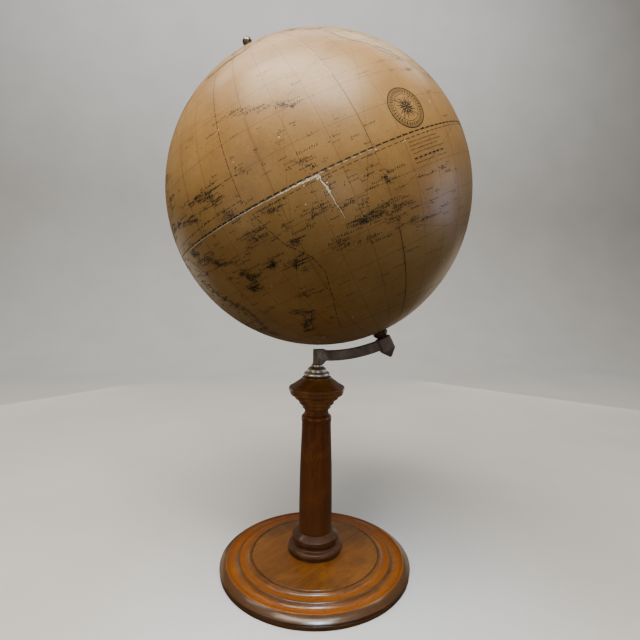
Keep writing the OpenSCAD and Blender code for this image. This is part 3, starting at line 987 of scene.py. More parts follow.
mainlands = {
    "north_america": outline(
        "-168,66 -162,67 -163,69.5 -157,71.3 -141,69.7 -128,70.3 -120,69.5 -115,68 -108,68 -98,68 "
        "-95,71.5 -91,69.5 -88,68 -82,69.5 -82,67 -87,65 -94,61 -94.5,58.8 -92.5,57 -85,55.3 "
        "-82.3,53 -80,51.3 -79,52 -79.5,54.7 -76.7,57 -78,59 -77.5,62.4 -73.5,62.2 -69.5,61 "
        "-69.5,58.8 -66,58.7 -64.5,60.3 -61.5,57 -57,54 -55.8,52 -60,50.2 -66.5,50.2 -70,47 "
        "-65,49.2 -64.3,48 -65,47 -61.5,45.7 -65.5,43.5 -67,45 -70,43.7 -70.5,41.7 -74,40.6 "
        "-75.5,37.5 -76,35.5 -79,33.5 -81.3,31.3 -80,27 -80.6,25.2 -82.5,28 -84,30 -89.5,30.2 "
        "-91,29.2 -94,29.6 -97.2,27.7 -97.8,22.5 -96,19.2 -94.3,18.2 -91,18.7 -90.4,21 -87,21.5 "
        "-88,18 -88.7,15.8 -84,15.7 -83.3,12 -83.6,10.8 -81.5,9 -79.5,9.5 -77.4,8.6 -78.4,8 "
        "-80,7.4 -82.9,8.2 -85.7,10 -87.5,13 -92,14.5 -95,16 -99.5,16.7 -105,19.5 -105.5,21.5 "
        "-109.3,25.7 -112.8,30 -114.7,31.7 -114,29.5 -111,25.5 -109.5,23 -112,25 -115,28.5 "
        "-117.2,32.6 -120.6,34.6 -122.5,37.5 -124.4,40.4 -124,46 -124.7,48.3 -123,49 -128,52 "
        "-131,55 -134,58 -140,59.8 -146,60.8 -151,59.5 -154,58 -158,56.5 -163,54.8 -160,57 "
        "-157.5,58.7 -162,59.7 -165.5,61.5 -164.5,63 -161,64.2 -166,64.5"),
    "south_america": outline(
        "-77.4,8.6 -75.5,10.6 -72,12 -71.5,11 -68,11 -64,10.5 -61,9.5 -57,6 -52,5 -50,1 -48,-0.8 "
        "-44,-2.5 -39,-3.3 -35.2,-5.5 -35,-9 -39,-13 -39,-18 -41,-22 -45,-23.5 -48.5,-26 -49,-29 "
        "-53,-33.5 -57,-35 -57,-36.5 -58,-38.3 -62,-39 -65,-41 -63.7,-42.5 -67.5,-46 -66,-48 "
        "-69,-51 -68.3,-53 -65.5,-54.8 -70,-55 -74,-52 -75.5,-47.5 -73.5,-42 -73.5,-37 -71.5,-32 "
        "-70.3,-25 -70.3,-18.5 -76,-14 -79.5,-7.5 -81.3,-5 -80,-3 -80.8,-1 -79.5,1.5 -77.5,4 "
        "-77.8,7"),
    "eurasia": outline(
        "-9.2,38.8 -9,43 -1.7,43.4 -1.2,46 -4.6,48.4 -1.5,48.7 1.5,50.8 4,52 8,53.8 8.5,56.8 "
        "10.6,57.6 10.3,55 11,54 14,54 19,54.4 21,57 24,57.2 23.6,59.2 30,60 22.5,60 21.5,62.5 "
        "25.3,65 22,65.8 17.3,62 18.8,60 16.5,57 14.3,55.4 12.7,56 11,59 8,58 5.3,59.5 5,62 "
        "10,64.5 14,68 20,70 27,71 31,70.3 41,67 40,66 34,66.7 37,64 40,64.6 44,66.2 44,68.5 "
        "54,68.5 60,68.7 67,68.7 69,73 73,71.5 72.5,68 77,72 87,75 100,76.3 104,77.7 113,74 "
        "127,73.5 131,71 140,72.5 160,69.8 170,69.8 180,69 190,66 181,65 178,64.5 178.5,62.5 "
        "171,60 163,58.5 162.5,56 157,51.2 156,57 163,62 156,61.8 150,59.5 142,59.2 136,54.6 "
        "141,53 140,48.5 135.5,44 131.5,43 127.5,39.7 129.4,36.5 126.3,34.5 126.8,37.3 125,39.5 "
        "121.5,39 121.5,40.8 118,39 122.4,37 119.3,35 121.7,31.5 121.5,28.5 117,23.5 110.5,21 "
        "108,21.6 105.8,19 109,13 107,10.5 105,8.7 104.8,10.4 102,12 100.8,13.4 99.2,10 101,7 "
        "103.3,4 104,1.4 101.3,3 98.3,8 98.6,12 97.5,16.5 94.4,16 94.3,18.5 91.5,22.5 88,21.7 "
        "86.5,20 82,16.5 80.2,15 80,10.5 77.5,8.1 74.5,14 72.7,20 70,21 68,23.7 66.5,25.3 "
        "61.5,25.1 57,26.7 54,26.6 50.5,30 48,30 50,26.5 51.5,25 54,24.1 56.3,26 59.8,22.5 57,19 "
        "52,16 45,13 43.3,12.8 42,16.5 39,21.5 35,28 34.5,31.5 35.8,35.5 36,36.8 31,36.8 27.5,37 "
        "26.3,39.5 29,41 35,42 41,41.5 38,44.5 37,47 33.5,45.5 31,46.5 28.5,43.5 28,41.5 26,40.8 "
        "23.5,40.2 24,38 22.5,36.6 20.5,39 19.4,41.5 14.5,45 12.5,45.3 14,42.5 18.4,40 16.5,38.2 "
        "12.5,41.5 9,44.3 3.2,43.3 3,42 0,39.5 -2,36.8 -5.6,36 -9,37"),
    "africa": outline(
        "-5.6,35.8 -2,35.2 10,37.3 11,34 15,32.3 20,31 23,32.7 29,31 32.5,31.2 34.5,28 37.2,21 "
        "39.5,15.5 43.3,11.5 51.2,11.8 47.5,4 41.5,-2 39,-7 40.6,-15 35.5,-20.5 35.5,-24 32.7,-28 "
        "27,-33.8 20,-34.8 18.3,-33 15,-26.5 12,-17 13.7,-11 9.3,-1 9.5,4 4.5,6.3 -4,5.2 -7.5,4.4 "
        "-13,8.8 -17,14.7 -16.5,20 -13,27.8 -9.8,30 -6.5,34"),
    "australia": outline(
        "113.5,-22 114,-26.5 115.7,-32 118,-35 124,-33 131,-31.5 135.5,-34.8 137.7,-33 138.5,-35.6 "
        "140.5,-38 146.3,-39 150,-37.3 153,-31 153,-25.5 149.5,-22 146,-18.8 145.3,-15 142.5,-10.8 "
        "141.5,-14 140.5,-17.6 136,-15.5 136.8,-12.2 132.5,-11.3 129.5,-15 126,-14 122.2,-18 "
        "118.5,-20.3"),
    "greenland": outline(
        "-73,78 -60,82 -35,83 -20,81 -20,75 -22,71 -32,68 -40,65 -43.5,60 -49,61.5 -53.5,67 "
        "-54,70.5 -60,75.8"),
}
large_islands = [outline(text) for text in (
    "172.7,-34.4 174.8,-36.2 175.8,-37 178.4,-37.8 177,-39.5 175.3,-41.6 173.8,-39.3 174.8,-37.8",
    "172.8,-40.6 174.2,-41.8 172.8,-43.6 170.7,-45.9 168.4,-46.6 166.6,-45.8 168.4,-44 171.4,-42",
    "144.7,-40.8 148.2,-40.9 148,-43.1 146,-43.5",
    "49.3,-12.1 50.4,-15.6 47.2,-24.9 44.2,-25 43.4,-21.8 44.4,-16.3",
    "-5.6,50.1 1.3,51.2 1.6,52.8 -0.2,54.2 -2,57.6 -4.8,58.6 -6,56.6 -3,54.8 -4.4,53.2 -5,51.8 -2.8,51.4",
    "-10,51.7 -6.3,52.3 -5.8,54.6 -8.2,55.1 -9.9,53.8",
    "-22.5,63.9 -18.8,63.4 -13.8,65 -16.3,66.5 -22.2,66.3 -24,65.4", "80,9.6 81.7,7.4 80.6,6 79.8,7.6",
    "109,1.5 111.4,2.6 115.5,5.6 117,7 119,5.2 117.6,1 116,-3.6 114.2,-3.5 110.2,-2.8",
    "95.3,5.5 98.5,3.9 103.6,-1 106,-3.2 105.6,-5.8 102.2,-4 98.7,1.6",
    "105.3,-6.7 108.4,-6.6 112.7,-7 114.4,-8.5 108.3,-7.8",
    "119.6,0.2 121,1.3 125,1.4 121.3,-1 123.3,-4.4 121.4,-3.2 120.4,-5.6 119.4,-3.4",
    "131,-0.9 134.2,-1 137.6,-1.7 141,-2.7 147.2,-6 150.6,-10.3 147,-9.8 143.4,-8.6 138,-8.2 136.7,-4.8 "
    "132.8,-3.8 133.6,-2.4",
    "120.3,16 120.8,18.5 122.2,18.4 121.6,15.8 124,13 122.2,13.6 120.6,13.8",
    "122,7.2 124.2,8.4 126.3,8.6 126.4,6.4 124.2,6", "120.2,22.8 121.5,25.2 121.8,24.6 120.9,22",
    "108.7,19.2 110.8,20 110.4,18.5 109,18.3",
    "130,32.6 131,34 136,35.7 139.2,38 141.2,41.3 141.8,39.6 140.8,35.8 136.9,34.4 133.3,34.3 131.4,31.4",
    "140.2,42 141.7,45.4 145.3,43.4 143.2,42", "142,46 142.7,54.2 143.6,50 143,47",
    "-85,22 -80,23.1 -74.3,20.2 -77.6,19.9 -82,22.3", "-74.4,18.5 -72.8,19.9 -68.4,18.7 -71.5,17.7",
    "-59.3,47.7 -55.6,51.6 -53,47.6 -55.8,46.9",
    "-65,61.9 -68,66.2 -61.5,66.8 -68,70 -80,73.7 -89,73 -85,70 -78,70 -73,65 -77,64.4 -72,62.8",
    "-117,69.8 -102,69.3 -105,73 -118,72.6", "-90,76.5 -87,81 -64,82.6 -78,77.5 -80,76",
    "55,70.7 52,72 57,75.5 68,76.9 59,74 57.5,70.6", "11,78.9 16,80 27,80.2 18,76.8",
    "-128.2,50.8 -125,50.2 -123.4,48.4 -125.8,49", "-60,47 -60.4,46 -61.4,45.8",
    "151,-5.5 152,-4.2 150.4,-6.3 148.4,-5.8", "8.2,39 9.7,40.8 9.6,39.2", "12.5,38 15.6,38.2 15.1,36.7",
    "32.4,35 34.5,35.6 33,34.7")]
print(len(mainlands), "mainlands and", len(large_islands), "large islands")


# %% Crinkled coasts
def crinkled(shape, finest=0.55, push=0.17):
    """The closed outline with every side halved until it is short, each new point pushed to one side."""
    points = [np.array(p) for p in shape]
    longest = 99.0
    while longest > finest * 1.6:
        fresh, longest = [], 0.0
        for a, b in zip(points, points[1:] + points[:1]):
            squeeze = max(0.2, math.cos(math.radians((a[1] + b[1]) / 2)))
            run = np.array([(b[0] - a[0]) * squeeze, b[1] - a[1]])
            length = math.hypot(*run)
            fresh.append(a)
            if length > finest:
                shift = rng.uniform(-push, push)
                middle = (a + b) / 2 + np.array([-run[1] * shift / squeeze, run[0] * shift])
                fresh.append(middle)
                longest = max(longest, length / 2)
        points = fresh
    return np.array(points)


coasts = {name: crinkled(shape) for name, shape in mainlands.items()}
for i, shape in enumerate(large_islands):
    coasts[f"island_{i}"] = crinkled(shape, 0.5, 0.2)
print("coast points:", sum(len(c) for c in coasts.values()))


# %% Land or sea
def on_land(places):
    """True where a place lies inside a coast, by counting the coast's crossings to one side of it."""
    places = np.asarray(places, float)
    land = np.zeros(len(places), bool)
    for shape in coasts.values():
        for turn_round in (0, 360, -360):
            lon = places[:, 0] + turn_round
            near = (lon > shape[:, 0].min()) & (lon < shape[:, 0].max()) & (places[:, 1] > shape[:,
                1].min()) & (places[:, 1] < shape[:, 1].max())
            which = np.nonzero(near)[0]
            if not len(which):
                continue
            x, y = lon[which], places[which, 1]
            odd = np.zeros(len(which), bool)
            for a, b in zip(shape, np.roll(shape, -1, 0)):
                if a[1] == b[1]:
                    continue
                crosses = (a[1] > y) != (b[1] > y)
                odd ^= crosses & (x < (b[0] - a[0]) * (y - a[1]) / (b[1] - a[1]) + a[0])
            land[which] |= odd
    return land


print("land at 5 E 20 N:", bool(on_land([(5, 20)])[0]), "and in mid ocean:",
      bool(on_land([(-150, -40)])[0]))

# %% Points to measure from the coasts
coast_tree = KDTree(sum(len(c) for c in coasts.values()))
number = 0
for shape in coasts.values():
    for unit in spokes(shape):
        coast_tree.insert(unit, number)
        number += 1
coast_tree.balance()
print("coast points to measure from:", number)

# %% [markdown]
# ## The paper gores
#
# Twelve printed strips run from pole to pole. Each strip is a fine grid on the ball, with its edges
# folded down to show the paper's thickness. The grid also carries facts the paint needs: how far each
# point is from a seam, from a coast and from the crack, and whether it is land. They are stored as
# attributes on the mesh, so they move with it.

# %% Crack and its branch
crack_route = dense([(-216, -0.50), (-205, -0.46), (-195, -0.50), (-185, -0.46), (-175, -0.50),
                     (-167, -0.56), (-160, -0.62), (-156.9, -0.8)], 0.3)
crack_tail = dense([(-156.9, -0.44), (-150, -0.40), (-143, -0.38), (-138, -0.36)], 0.5)
branch_route = dense([(-156.8, -0.9), (-157.0, -2.2), (-156.3, -4.4), (-156.1, -7), (-155.9, -9.2),
                      (-155.4, -11.5), (-155.0, -14.2)], 0.3)
crack_tree = KDTree(len(crack_route) + len(branch_route))
for i, unit in enumerate(np.vstack([spokes(crack_route), spokes(branch_route)])):
    crack_tree.insert(unit, i)
crack_tree.balance()
print("crack points:", len(crack_route) + len(branch_route) + len(crack_tail))

# %% [markdown]
# ## Old map paper
#
# Under its brown varnish the paper shows clouds of age, cotton fibres, freckles and rubbed places. Land
# carries thin washes, each country a little different, which the varnish has pulled towards brown. The
# sea darkens with a blue-grey wash ruled in fine lines along the shores. Seams collect dirt, and near
# the crack the varnish has chipped to a paler edge.

# %% Paper finish
def map_paper():
    finish = Finish("varnished map paper", Coat_Roughness=0.33, Coat_IOR=1.5, Specular_IOR_Level=0.30)
    place = finish.place()

    def stored(name):
        return finish.node("ShaderNodeAttribute", {"attribute_name": name}, {}, "Fac")

    cloud = finish.noise(place, 9.0, 5.0, 0.58, 0.5)
    mottle = finish.noise(place, 42.0, 5.0, 0.65, 0.3)
    fibre = finish.noise(finish.vector("MULTIPLY", place, (1500, 1500, 330)), 1.0, 2.0, 0.6, 0.8)
    laid = finish.noise(finish.vector("MULTIPLY", place, (260, 1300, 1300)), 1.0, 2.0, 0.5, 0.4)
    ages = [(0.30, (0.222, 0.113, 0.027)), (0.45, (0.298, 0.162, 0.041)),
            (0.58, (0.350, 0.201, 0.056)), (0.74, (0.400, 0.246, 0.080))]
    tone = finish.ramp(cloud * 0.62 + mottle * 0.38, ages)
    amber = finish.rise(finish.noise(place, 5.5, 4.0, 0.55, 0.7), 0.50, 0.68)
    tone = finish.mix(tone, ink(0.290, 0.140, 0.026), amber * 0.45)
    rubbed = finish.rise(finish.noise(place, 13.0, 6.0, 0.62, 1.0), 0.60, 0.74)
    tone = finish.mix(tone, ink(0.440, 0.295, 0.150), rubbed * 0.30)

    land = finish.rise(stored("land"), 0.35, 0.65)
    drift = finish.node("ShaderNodeTexNoise", {}, {"Vector": place, "Scale": 40.0, "Detail": 4.0}, 1)
    warped = finish.vector("ADD", place, finish.vector("MULTIPLY", drift, (0.012, 0.012, 0.012)))
    country = finish.node("ShaderNodeTexVoronoi", {}, {"Vector": warped, "Scale": 24.0}, "Color")
    wash = finish.node("ShaderNodeHueSaturation", {},
                       {"Saturation": 0.45, "Value": 0.42, "Color": country})
    wash = finish.mix(wash, ink(0.50, 0.34, 0.13), 0.62)
    tone = finish.mix(tone, wash, land * 0.24)
    border = finish.node("ShaderNodeTexVoronoi", {"feature": "DISTANCE_TO_EDGE"},
                         {"Vector": warped, "Scale": 24.0})
    tone = finish.mix(tone, ink(0.20, 0.085, 0.045),
                      land * (1 - finish.rise(border, 0.010, 0.030)) * 0.55)

    shore = stored("shore")
    ruled = stored("lat") * 3.2
    ruled = finish.hill(finish.node("ShaderNodeMath", {"operation": "FRACT"}, {0: ruled}), 0.5, 0.42)
    sea_edge = (1 - finish.rise(shore, 0.6, 4.2)) * (1 - land)
    tone = finish.mix(tone, ink(0.100, 0.085, 0.060), sea_edge * (0.22 + ruled * 0.38))

    freckle = finish.rise(finish.noise(place, 330.0, 2.0, 0.6), 0.66, 0.72)
    tone = finish.mix(tone, ink(0.105, 0.050, 0.016), freckle * 0.45)
    tone = finish.mix(tone, ink(0.15, 0.075, 0.024), finish.rise(fibre, 0.52, 0.76) * 0.40)
    tone = finish.mix(tone, ink(0.50, 0.35, 0.17), finish.rise(laid, 0.54, 0.78) * 0.32)
    seam = stored("seam")
    near_seam = 1 - finish.rise(seam, 0.0, 2.6)
    grime = near_seam * finish.rise(finish.noise(place, 50.0, 3.0, 0.6), 0.36, 0.60)
    tone = finish.mix(tone, ink(0.150, 0.072, 0.022), grime * 0.30)
    scar = stored("scar")
    chipped = 1 - finish.rise(scar + finish.noise(place, 260.0, 4.0, 0.65) * 3.4, 1.7, 2.5)
    tone = finish.mix(tone, ink(0.56, 0.45, 0.32), chipped * 0.75)
    fleck = finish.rise(finish.noise(place, 120.0, 2.0, 0.4), 0.755, 0.775)
    tone = finish.mix(tone, ink(0.66, 0.56, 0.43), fleck * 0.8)
    finish.feed("Base Color", tone)

    dull = finish.noise(place, 26.0, 5.0, 0.6)
    finish.feed("Roughness", 0.46 + dull * 0.16 + chipped * 0.2)
    finish.feed("Coat Weight", 0.64 - finish.rise(dull, 0.45, 0.7) * 0.25 - chipped * 0.4)
    scratch = finish.noise(finish.vector("MULTIPLY", place, (1900, 90, 260)), 1.0, 2.0, 0.5, 0.2)
    scratched = finish.rise(scratch, 0.66, 0.74) * 0.3
    relief = fibre * 0.20 + mottle * 0.55 + laid * 0.25 + scratched - chipped * 0.8 - freckle * 0.15
    finish.feed("Normal", finish.bump(relief, 0.30, 0.28))
    return finish


paper = map_paper()
print("paper finish:", len(paper.tree.nodes), "nodes")


# %% Gores
def nearest(tree, units):
    """Distance in mm along the ball from each unit vector to the closest point of a tree."""
    return np.array([tree.find(unit)[2] for unit in units]) * ball_r / MM


def store(mesh, name, values):
    attribute = mesh.attributes.new(name, "FLOAT", "POINT")
    attribute.data.foreach_set("value", np.asarray(values, np.float32))


def gore(number, columns=40, rows=196, reach=83.2, paper_mm=0.35):
    west = FIRST_SEAM + GORE_WIDE * (number - 1) + GORE_MARGIN - GREENWICH
    lons = np.linspace(west, west + GORE_PAPER, columns + 1)
    lats = np.linspace(-reach, reach, rows + 1)
    grid = np.array([(lon, lat) for lat in lats for lon in lons])
    units = spokes(grid)
    wide = columns + 1
    faces = [(r * wide + c, r * wide + c + 1, (r + 1) * wide + c + 1, (r + 1) * wide + c)
             for r in range(rows) for c in range(columns)]
    rim = [c for c in range(wide)] + [r * wide + columns for r in range(1, rows + 1)]
    rim += [rows * wide + c for c in range(columns - 1, -1, -1)]
    rim += [r * wide for r in range(rows - 1, 0, -1)]
    base = len(units)
    count = len(rim)
    faces += [(base + k, base + count + k, base + count + (k + 1) % count, base + (k + 1) % count)
              for k in range(count)]
    points = np.vstack([lifted(units, 0.0), lifted(units[rim], 0.0), lifted(units[rim], -paper_mm)])
    piece = mesh_piece(f"paper_gore_{number:02d}", points, faces, "globe", paper)
    places = np.vstack([grid, grid[rim], grid[rim]])
    unit_all = np.vstack([units, units[rim], units[rim]])
    to_seam = np.minimum(places[:, 0] - west, west + GORE_PAPER - places[:, 0])
    to_seam = to_seam * np.cos(np.radians(places[:, 1])) * ball_r / MM * math.pi / 180
    store(piece.data, "land", on_land(wrapped(places)))
    store(piece.data, "shore", nearest(coast_tree, unit_all))
    store(piece.data, "scar", nearest(crack_tree, unit_all))
    store(piece.data, "seam", to_seam)
    store(piece.data, "lat", places[:, 1])
    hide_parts(f"gore_{number:02d}")
    return piece


gores = [gore(number) for number in range(1, 13)]
print("gores:", len(gores), "with", len(gores[0].data.polygons), "faces each")

# %% [markdown]
# ## The net of lines
#
# Meridians and parallels are ruled every ten degrees in fine brown ink. The tropics and polar circles
# are dashed. The equator is a ladder between two black lines: black dashes that count the degrees, with
# gold in the gaps. The date line bends round the islands, and the seams between the gores keep a brown
# edge.

# %% Graticule
graticule = Ink("graticule", 0.04)
for lon in range(-180, 180, 10):
    if (lon + 50) % 30 == 0:
        continue
    top = 80 if lon % 30 else 84
    graticule.line(dense([(lon, -top), (lon, top)], 2.0), 0.26)
for lat in range(-80, 81, 10):
    if lat:
        graticule.line(dense([(-180, lat), (180, lat)], 2.5)[:-1], 0.26, closed=True)
for lat in (-66.5, -23.5, 23.5, 66.5):
    graticule.dashes(dense([(-180, lat), (180, lat)], 0.9), 0.24, 2, 1)
graticule.make(brown_ink)

# %% Seams
seams = Ink("seam_lines", 0.03)
for k in range(12):
    lon = FIRST_SEAM - GREENWICH + GORE_WIDE * k
    seams.line(dense([(lon, -83), (lon, 83)], 2.0), 0.36)
worn_seam = Ink("worn_seam", 0.045)
worn_seam.line(dense([(-140, 24), (-140, 0.4)], 1.5), 0.62)
worn_seam.line(dense([(-140, -24), (-139.9, -40), (-140, -60)], 1.5), 0.85)
seams.make(printers_ink("seam paper edge", (0.165, 0.085, 0.024), (0.240, 0.135, 0.045)))
worn_seam.make(printers_ink("seam glue", (0.085, 0.038, 0.010), (0.175, 0.088, 0.026)))

# Painted highlight: pale dashes beside a seam stand for the glint on its lifted varnish edge.
seam_glint_and_chips = Ink("painted_seam_glint_and_chips", 0.055)
seam_glint_and_chips.dashes(dense([(-140.35, 47), (-140.35, 24)], 0.8), 0.42, 5, 1)
# Short pale slivers: chips in the varnish beside the seam.
for lon, lat, long_mm in ((-141.2, 27.4, 3.6), (-142.0, 26.3, 4.4), (-141.6, 24.9, 2.8),
                          (-139.2, 21.0, 2.0), (-144.6, 24.0, 1.6)):
    seam_glint_and_chips.bars([stroke(lon, lat, long_mm / 2, 0.14, 0.35)])
seam_glint_and_chips.make(printers_ink("painted seam glint and pale chips", (0.62, 0.52, 0.40), (0.40, 0.29, 0.17)))

routes = Ink("date_line_and_routes", 0.045)
routes.dashes(dense([(180, 66), (180, 52), (180, 40), (180, 3), (-178.7, -2), (-174.5, -13),
                     (-168.6, -20.6), (-167.5, -26.4),
                     (-170.6, -37), (-177.8, -52), (180, -64)], 0.55), 0.62, 3, 1)

# %% Date line and sea routes
harbours = {
    "golden_coast": (-122.6, 37.6), "midway_port": (-157.8, 21.2), "east_bay": (139.8, 35.0),
    "south_bay": (174.9, -36.9), "navigator": (-171.5, -14.0), "isthmus": (-79.6, 8.8),
    "harbour": (151.4, -33.8), "cape": (18.2, -34.2), "strait": (103.8, 1.2), "gulf": (45, 12.5),
    "pearl": (79.8, 6.8), "channel": (-5.5, 49.5), "river_mouth": (-57, -35.6),
    "long_island": (-73.5, 40.4), "society": (-149.6, -17.4), "valley": (-71.8, -33.0),
    "west_bay": (115.5, -32.1)}
crossings = [
    ("golden_coast", "midway_port"), ("midway_port", "east_bay"), ("midway_port", "navigator"),
    ("navigator", "south_bay"), ("golden_coast", "east_bay"), ("golden_coast", "society"),
    ("society", "south_bay"), ("isthmus", "society"), ("south_bay", "harbour"), ("valley", "society"),
    ("cape", "west_bay"), ("pearl", "west_bay"), ("gulf", "pearl"), ("pearl", "strait"),
    ("channel", "long_island"), ("channel", "river_mouth"), ("cape", "channel"), ("gulf", "cape")]
for start, end in crossings:
    a, b = spokes([harbours[start]])[0], spokes([harbours[end]])[0]
    angle = math.acos(float(np.clip(a @ b, -1, 1)))
    steps = max(2, int(math.degrees(angle) / 1.5))
    way = np.array([(a * math.sin(angle * (1 - k / steps)) + b * math.sin(angle * k / steps))
                    / math.sin(angle) for k in range(steps + 1)])
    own = way @ ball_frame.T
    track = np.stack([np.degrees(np.arctan2(own[:, 1], own[:, 0])) - GREENWICH,
                      np.degrees(np.arcsin(np.clip(own[:, 2], -1, 1)))], 1)
    sea = ~on_land(wrapped(track))
    for k in range(len(track) - 1):
        if sea[k] and sea[k + 1]:
            routes.line(track[k:k + 2], 0.16)
routes.make(printers_ink("route ink", (0.040, 0.022, 0.010), (0.11, 0.06, 0.024)))

# %% Equator
equator = Ink("equator_ladder", 0.06)
for side in (-0.19, 0.19):
    equator.line(dense([(-180, side), (180, side)], 2.0)[:-1], 0.13, closed=True)
LADDER_CELL, LADDER_DASH, LADDER_HALF, GOLD_HALF = 2.4, 1.75, 0.19, 0.16
cells = np.arange(0, 360, LADDER_CELL) - 180


def ladder(start, end, half):
    """One bar of the ladder in every cell, from start to end in degrees along the equator."""
    return [[(lon + start, -half), (lon + end, -half), (lon + end, half), (lon + start, half)]
            for lon in cells]


equator.bars(ladder(0, LADDER_DASH, LADDER_HALF))
for lon in (-129.4, -121.3, 160.2, 20.4, 71.0, -39.2):
    equator.patch(beside(lon, 0.15, [(0.95 * math.cos(a), 0.75 * math.sin(a))
                                     for a in np.linspace(0, 2 * math.pi, 14)[:-1]]))
equator.make(black_ink)
gold = Ink("equator_gold", 0.05)
gold.bars(ladder(LADDER_DASH, LADDER_CELL, GOLD_HALF))
gold.make(printers_ink("gold dashes", (0.300, 0.165, 0.045), (0.25, 0.14, 0.05)))

# %% [markdown]
# ## Coasts, rivers and mountains
#
# Each coast is inked twice: a firm line on the shore itself and short blue-grey rules in the water
# beside it. Rivers are thin wandering lines. Mountain ranges are drawn with hachures, pairs of short
# strokes that lean away from a ridge, as engravers did before contour lines.

# %% Coast ink
shores = Ink("coast_lines", 0.06)
for name, shape in coasts.items():
    shores.line(shape, 0.58 if name in mainlands else 0.54, closed=True)
ice_edges = ((-60, -10, -72), (0, 55, -69), (60, 140, -66.5), (155, 170, -72), (-75, -62, -68))
for start, end, lat in ice_edges:
    lon = np.arange(start, end, 0.9)
    shores.line(np.stack([lon, lat + np.cumsum(rng.uniform(-0.35, 0.35, len(lon)))], 1), 0.26)
shores.make(black_ink)

# %% Rules in the water
rules = Ink("shore_rules", 0.04)
strokes = []
for shape in coasts.values():
    for lon, lat in shape[::2]:
        for _ in range(2):
            out = rng.uniform(0.15, 1.1)
            turn = rng.uniform(0, 2 * math.pi)
            spot = beside(lon, lat, (out * 2.6 * math.cos(turn), out * 2.6 * math.sin(turn)))
            long_mm = rng.uniform(1.2, 3.0)
            strokes.append(stroke(*spot, long_mm / 2, 0.06))
strokes = np.array(strokes)
middles = strokes.mean(1)
in_sea = ~on_land(wrapped(middles)) & (np.abs(middles[:, 1]) < 83)
rules.bars(strokes[in_sea])
rules.make(sea_ink)

# %% Rivers
rivers = Ink("rivers", 0.05)
courses = [
    "-95,47 -91,42 -90,38 -91,34 -89.5,29.5", "-112,46 -100,47 -96,41 -90.3,38.8",
    "-122,66 -128,67 -134,69", "-76,-10 -73,-4 -60,-3 -50,-0.5", "-58,-16 -57,-25 -60,-31 -58,-34",
    "-67,8 -65,7.5 -61,9", "31,-1 31,8 33,16 31,20 32,26 31,31", "26,-8 25,2 18,1 16,-4 12.5,-6",
    "-10,10 -3,17 4,12 6,5", "24,-12 28,-17 33,-16 36,-18.5", "95,33 102,30 112,30 121,31.6",
    "97,35 106,40 110,35 118,37.5", "82,50 78,58 68,61 70,67", "93,52 91,60 86,70",
    "106,54 118,60 127,64 126,72", "33,57 45,56 49,52 48,46", "9,48 19,47 22,44 29,45",
    "78,30 83,26 90,23.5", "74,32 70,28 68,24.5", "88,29.5 95,29 92,25 90.5,23",
    "98,28 100,20 105,14 106,10", "148,-36 142,-34 139,-35.4", "116,50 126,50 134,48 141,53",
    "-110,42 -111,36 -114.5,32", "-105,38 -106,32 -100,28.5 -97.5,26",
    "-118,52 -119,48 -120,46 -124,46.2"]
for course in courses:
    points = dense(outline(course), 0.8)
    points[1:-1] += rng.uniform(-0.28, 0.28, (len(points) - 2, 2))
    rivers.line(points, 0.17)
rivers.make(sea_ink)

# %% Mountains
mountains = Ink("mountain_hachures", 0.05)
ranges = [
    "-150,63 -138,60 -128,56 -122,51 -115,47 -110,43 -106,39 -105,35", "-121,48 -121,42 -119,37",
    "-107,31 -104,26 -101,21 -97,18", "-84,35 -79,39 -74,43",
    "-76,8 -77,2 -79,-4 -76,-11 -70,-17 -68,-24 -70,-32 -71.5,-40 -73,-48 -71,-54", "-43,-20 -47,-23",
    "-8,31 0,34 8,36", "-1,42.8 2,42.6", "6,45 10,46.7 14,47", "20,49 25,47 23,45", "41,43.5 48,41",
    "59,52 59,60 63,66", "44,37 50,33 56,29", "68,35 74,36 78,33 84,29 90,28 96,29",
    "70,40 78,42 86,44 92,48 100,50 110,52 118,56", "78,36 86,36 94,36 101,38", "99,30 100,25 98,20",
    "36,4 37,-3 34,-9", "29,-29 28,-31 23,-33", "10,63 13,66 18,69", "150,-24 151,-30 148,-36",
    "138,-4 143,-6 147,-9", "137,36 139,37", "160,55 159,58"]
hachures = []
for crest in ranges:
    for lon, lat in dense(outline(crest), 0.62):
        for side in (-1, 1):
            shift = rng.uniform(-0.5, 0.5, 2)
            tall = rng.uniform(0.9, 1.7)
            lean = side * rng.uniform(0.35, 0.8)
            corners = np.array([(0, 0.5), (0.17, 0.5), (lean + 0.17, 0.5 - tall), (lean, 0.5 - tall)])
            hachures.append(beside(lon, lat, corners + shift + (side * 0.15, 0)))
mountains.bars(hachures)
mountains.make(brown_ink)

# %% [markdown]
# ## Islands
#
# The ocean side is crowded with islands. A chain is given by its two ends, its spread, how many islands
# it has and how large they are. Each island is a small blot with an uneven edge. Atolls are rings of
# dots, and the larger groups get a dark halo of reef dots.

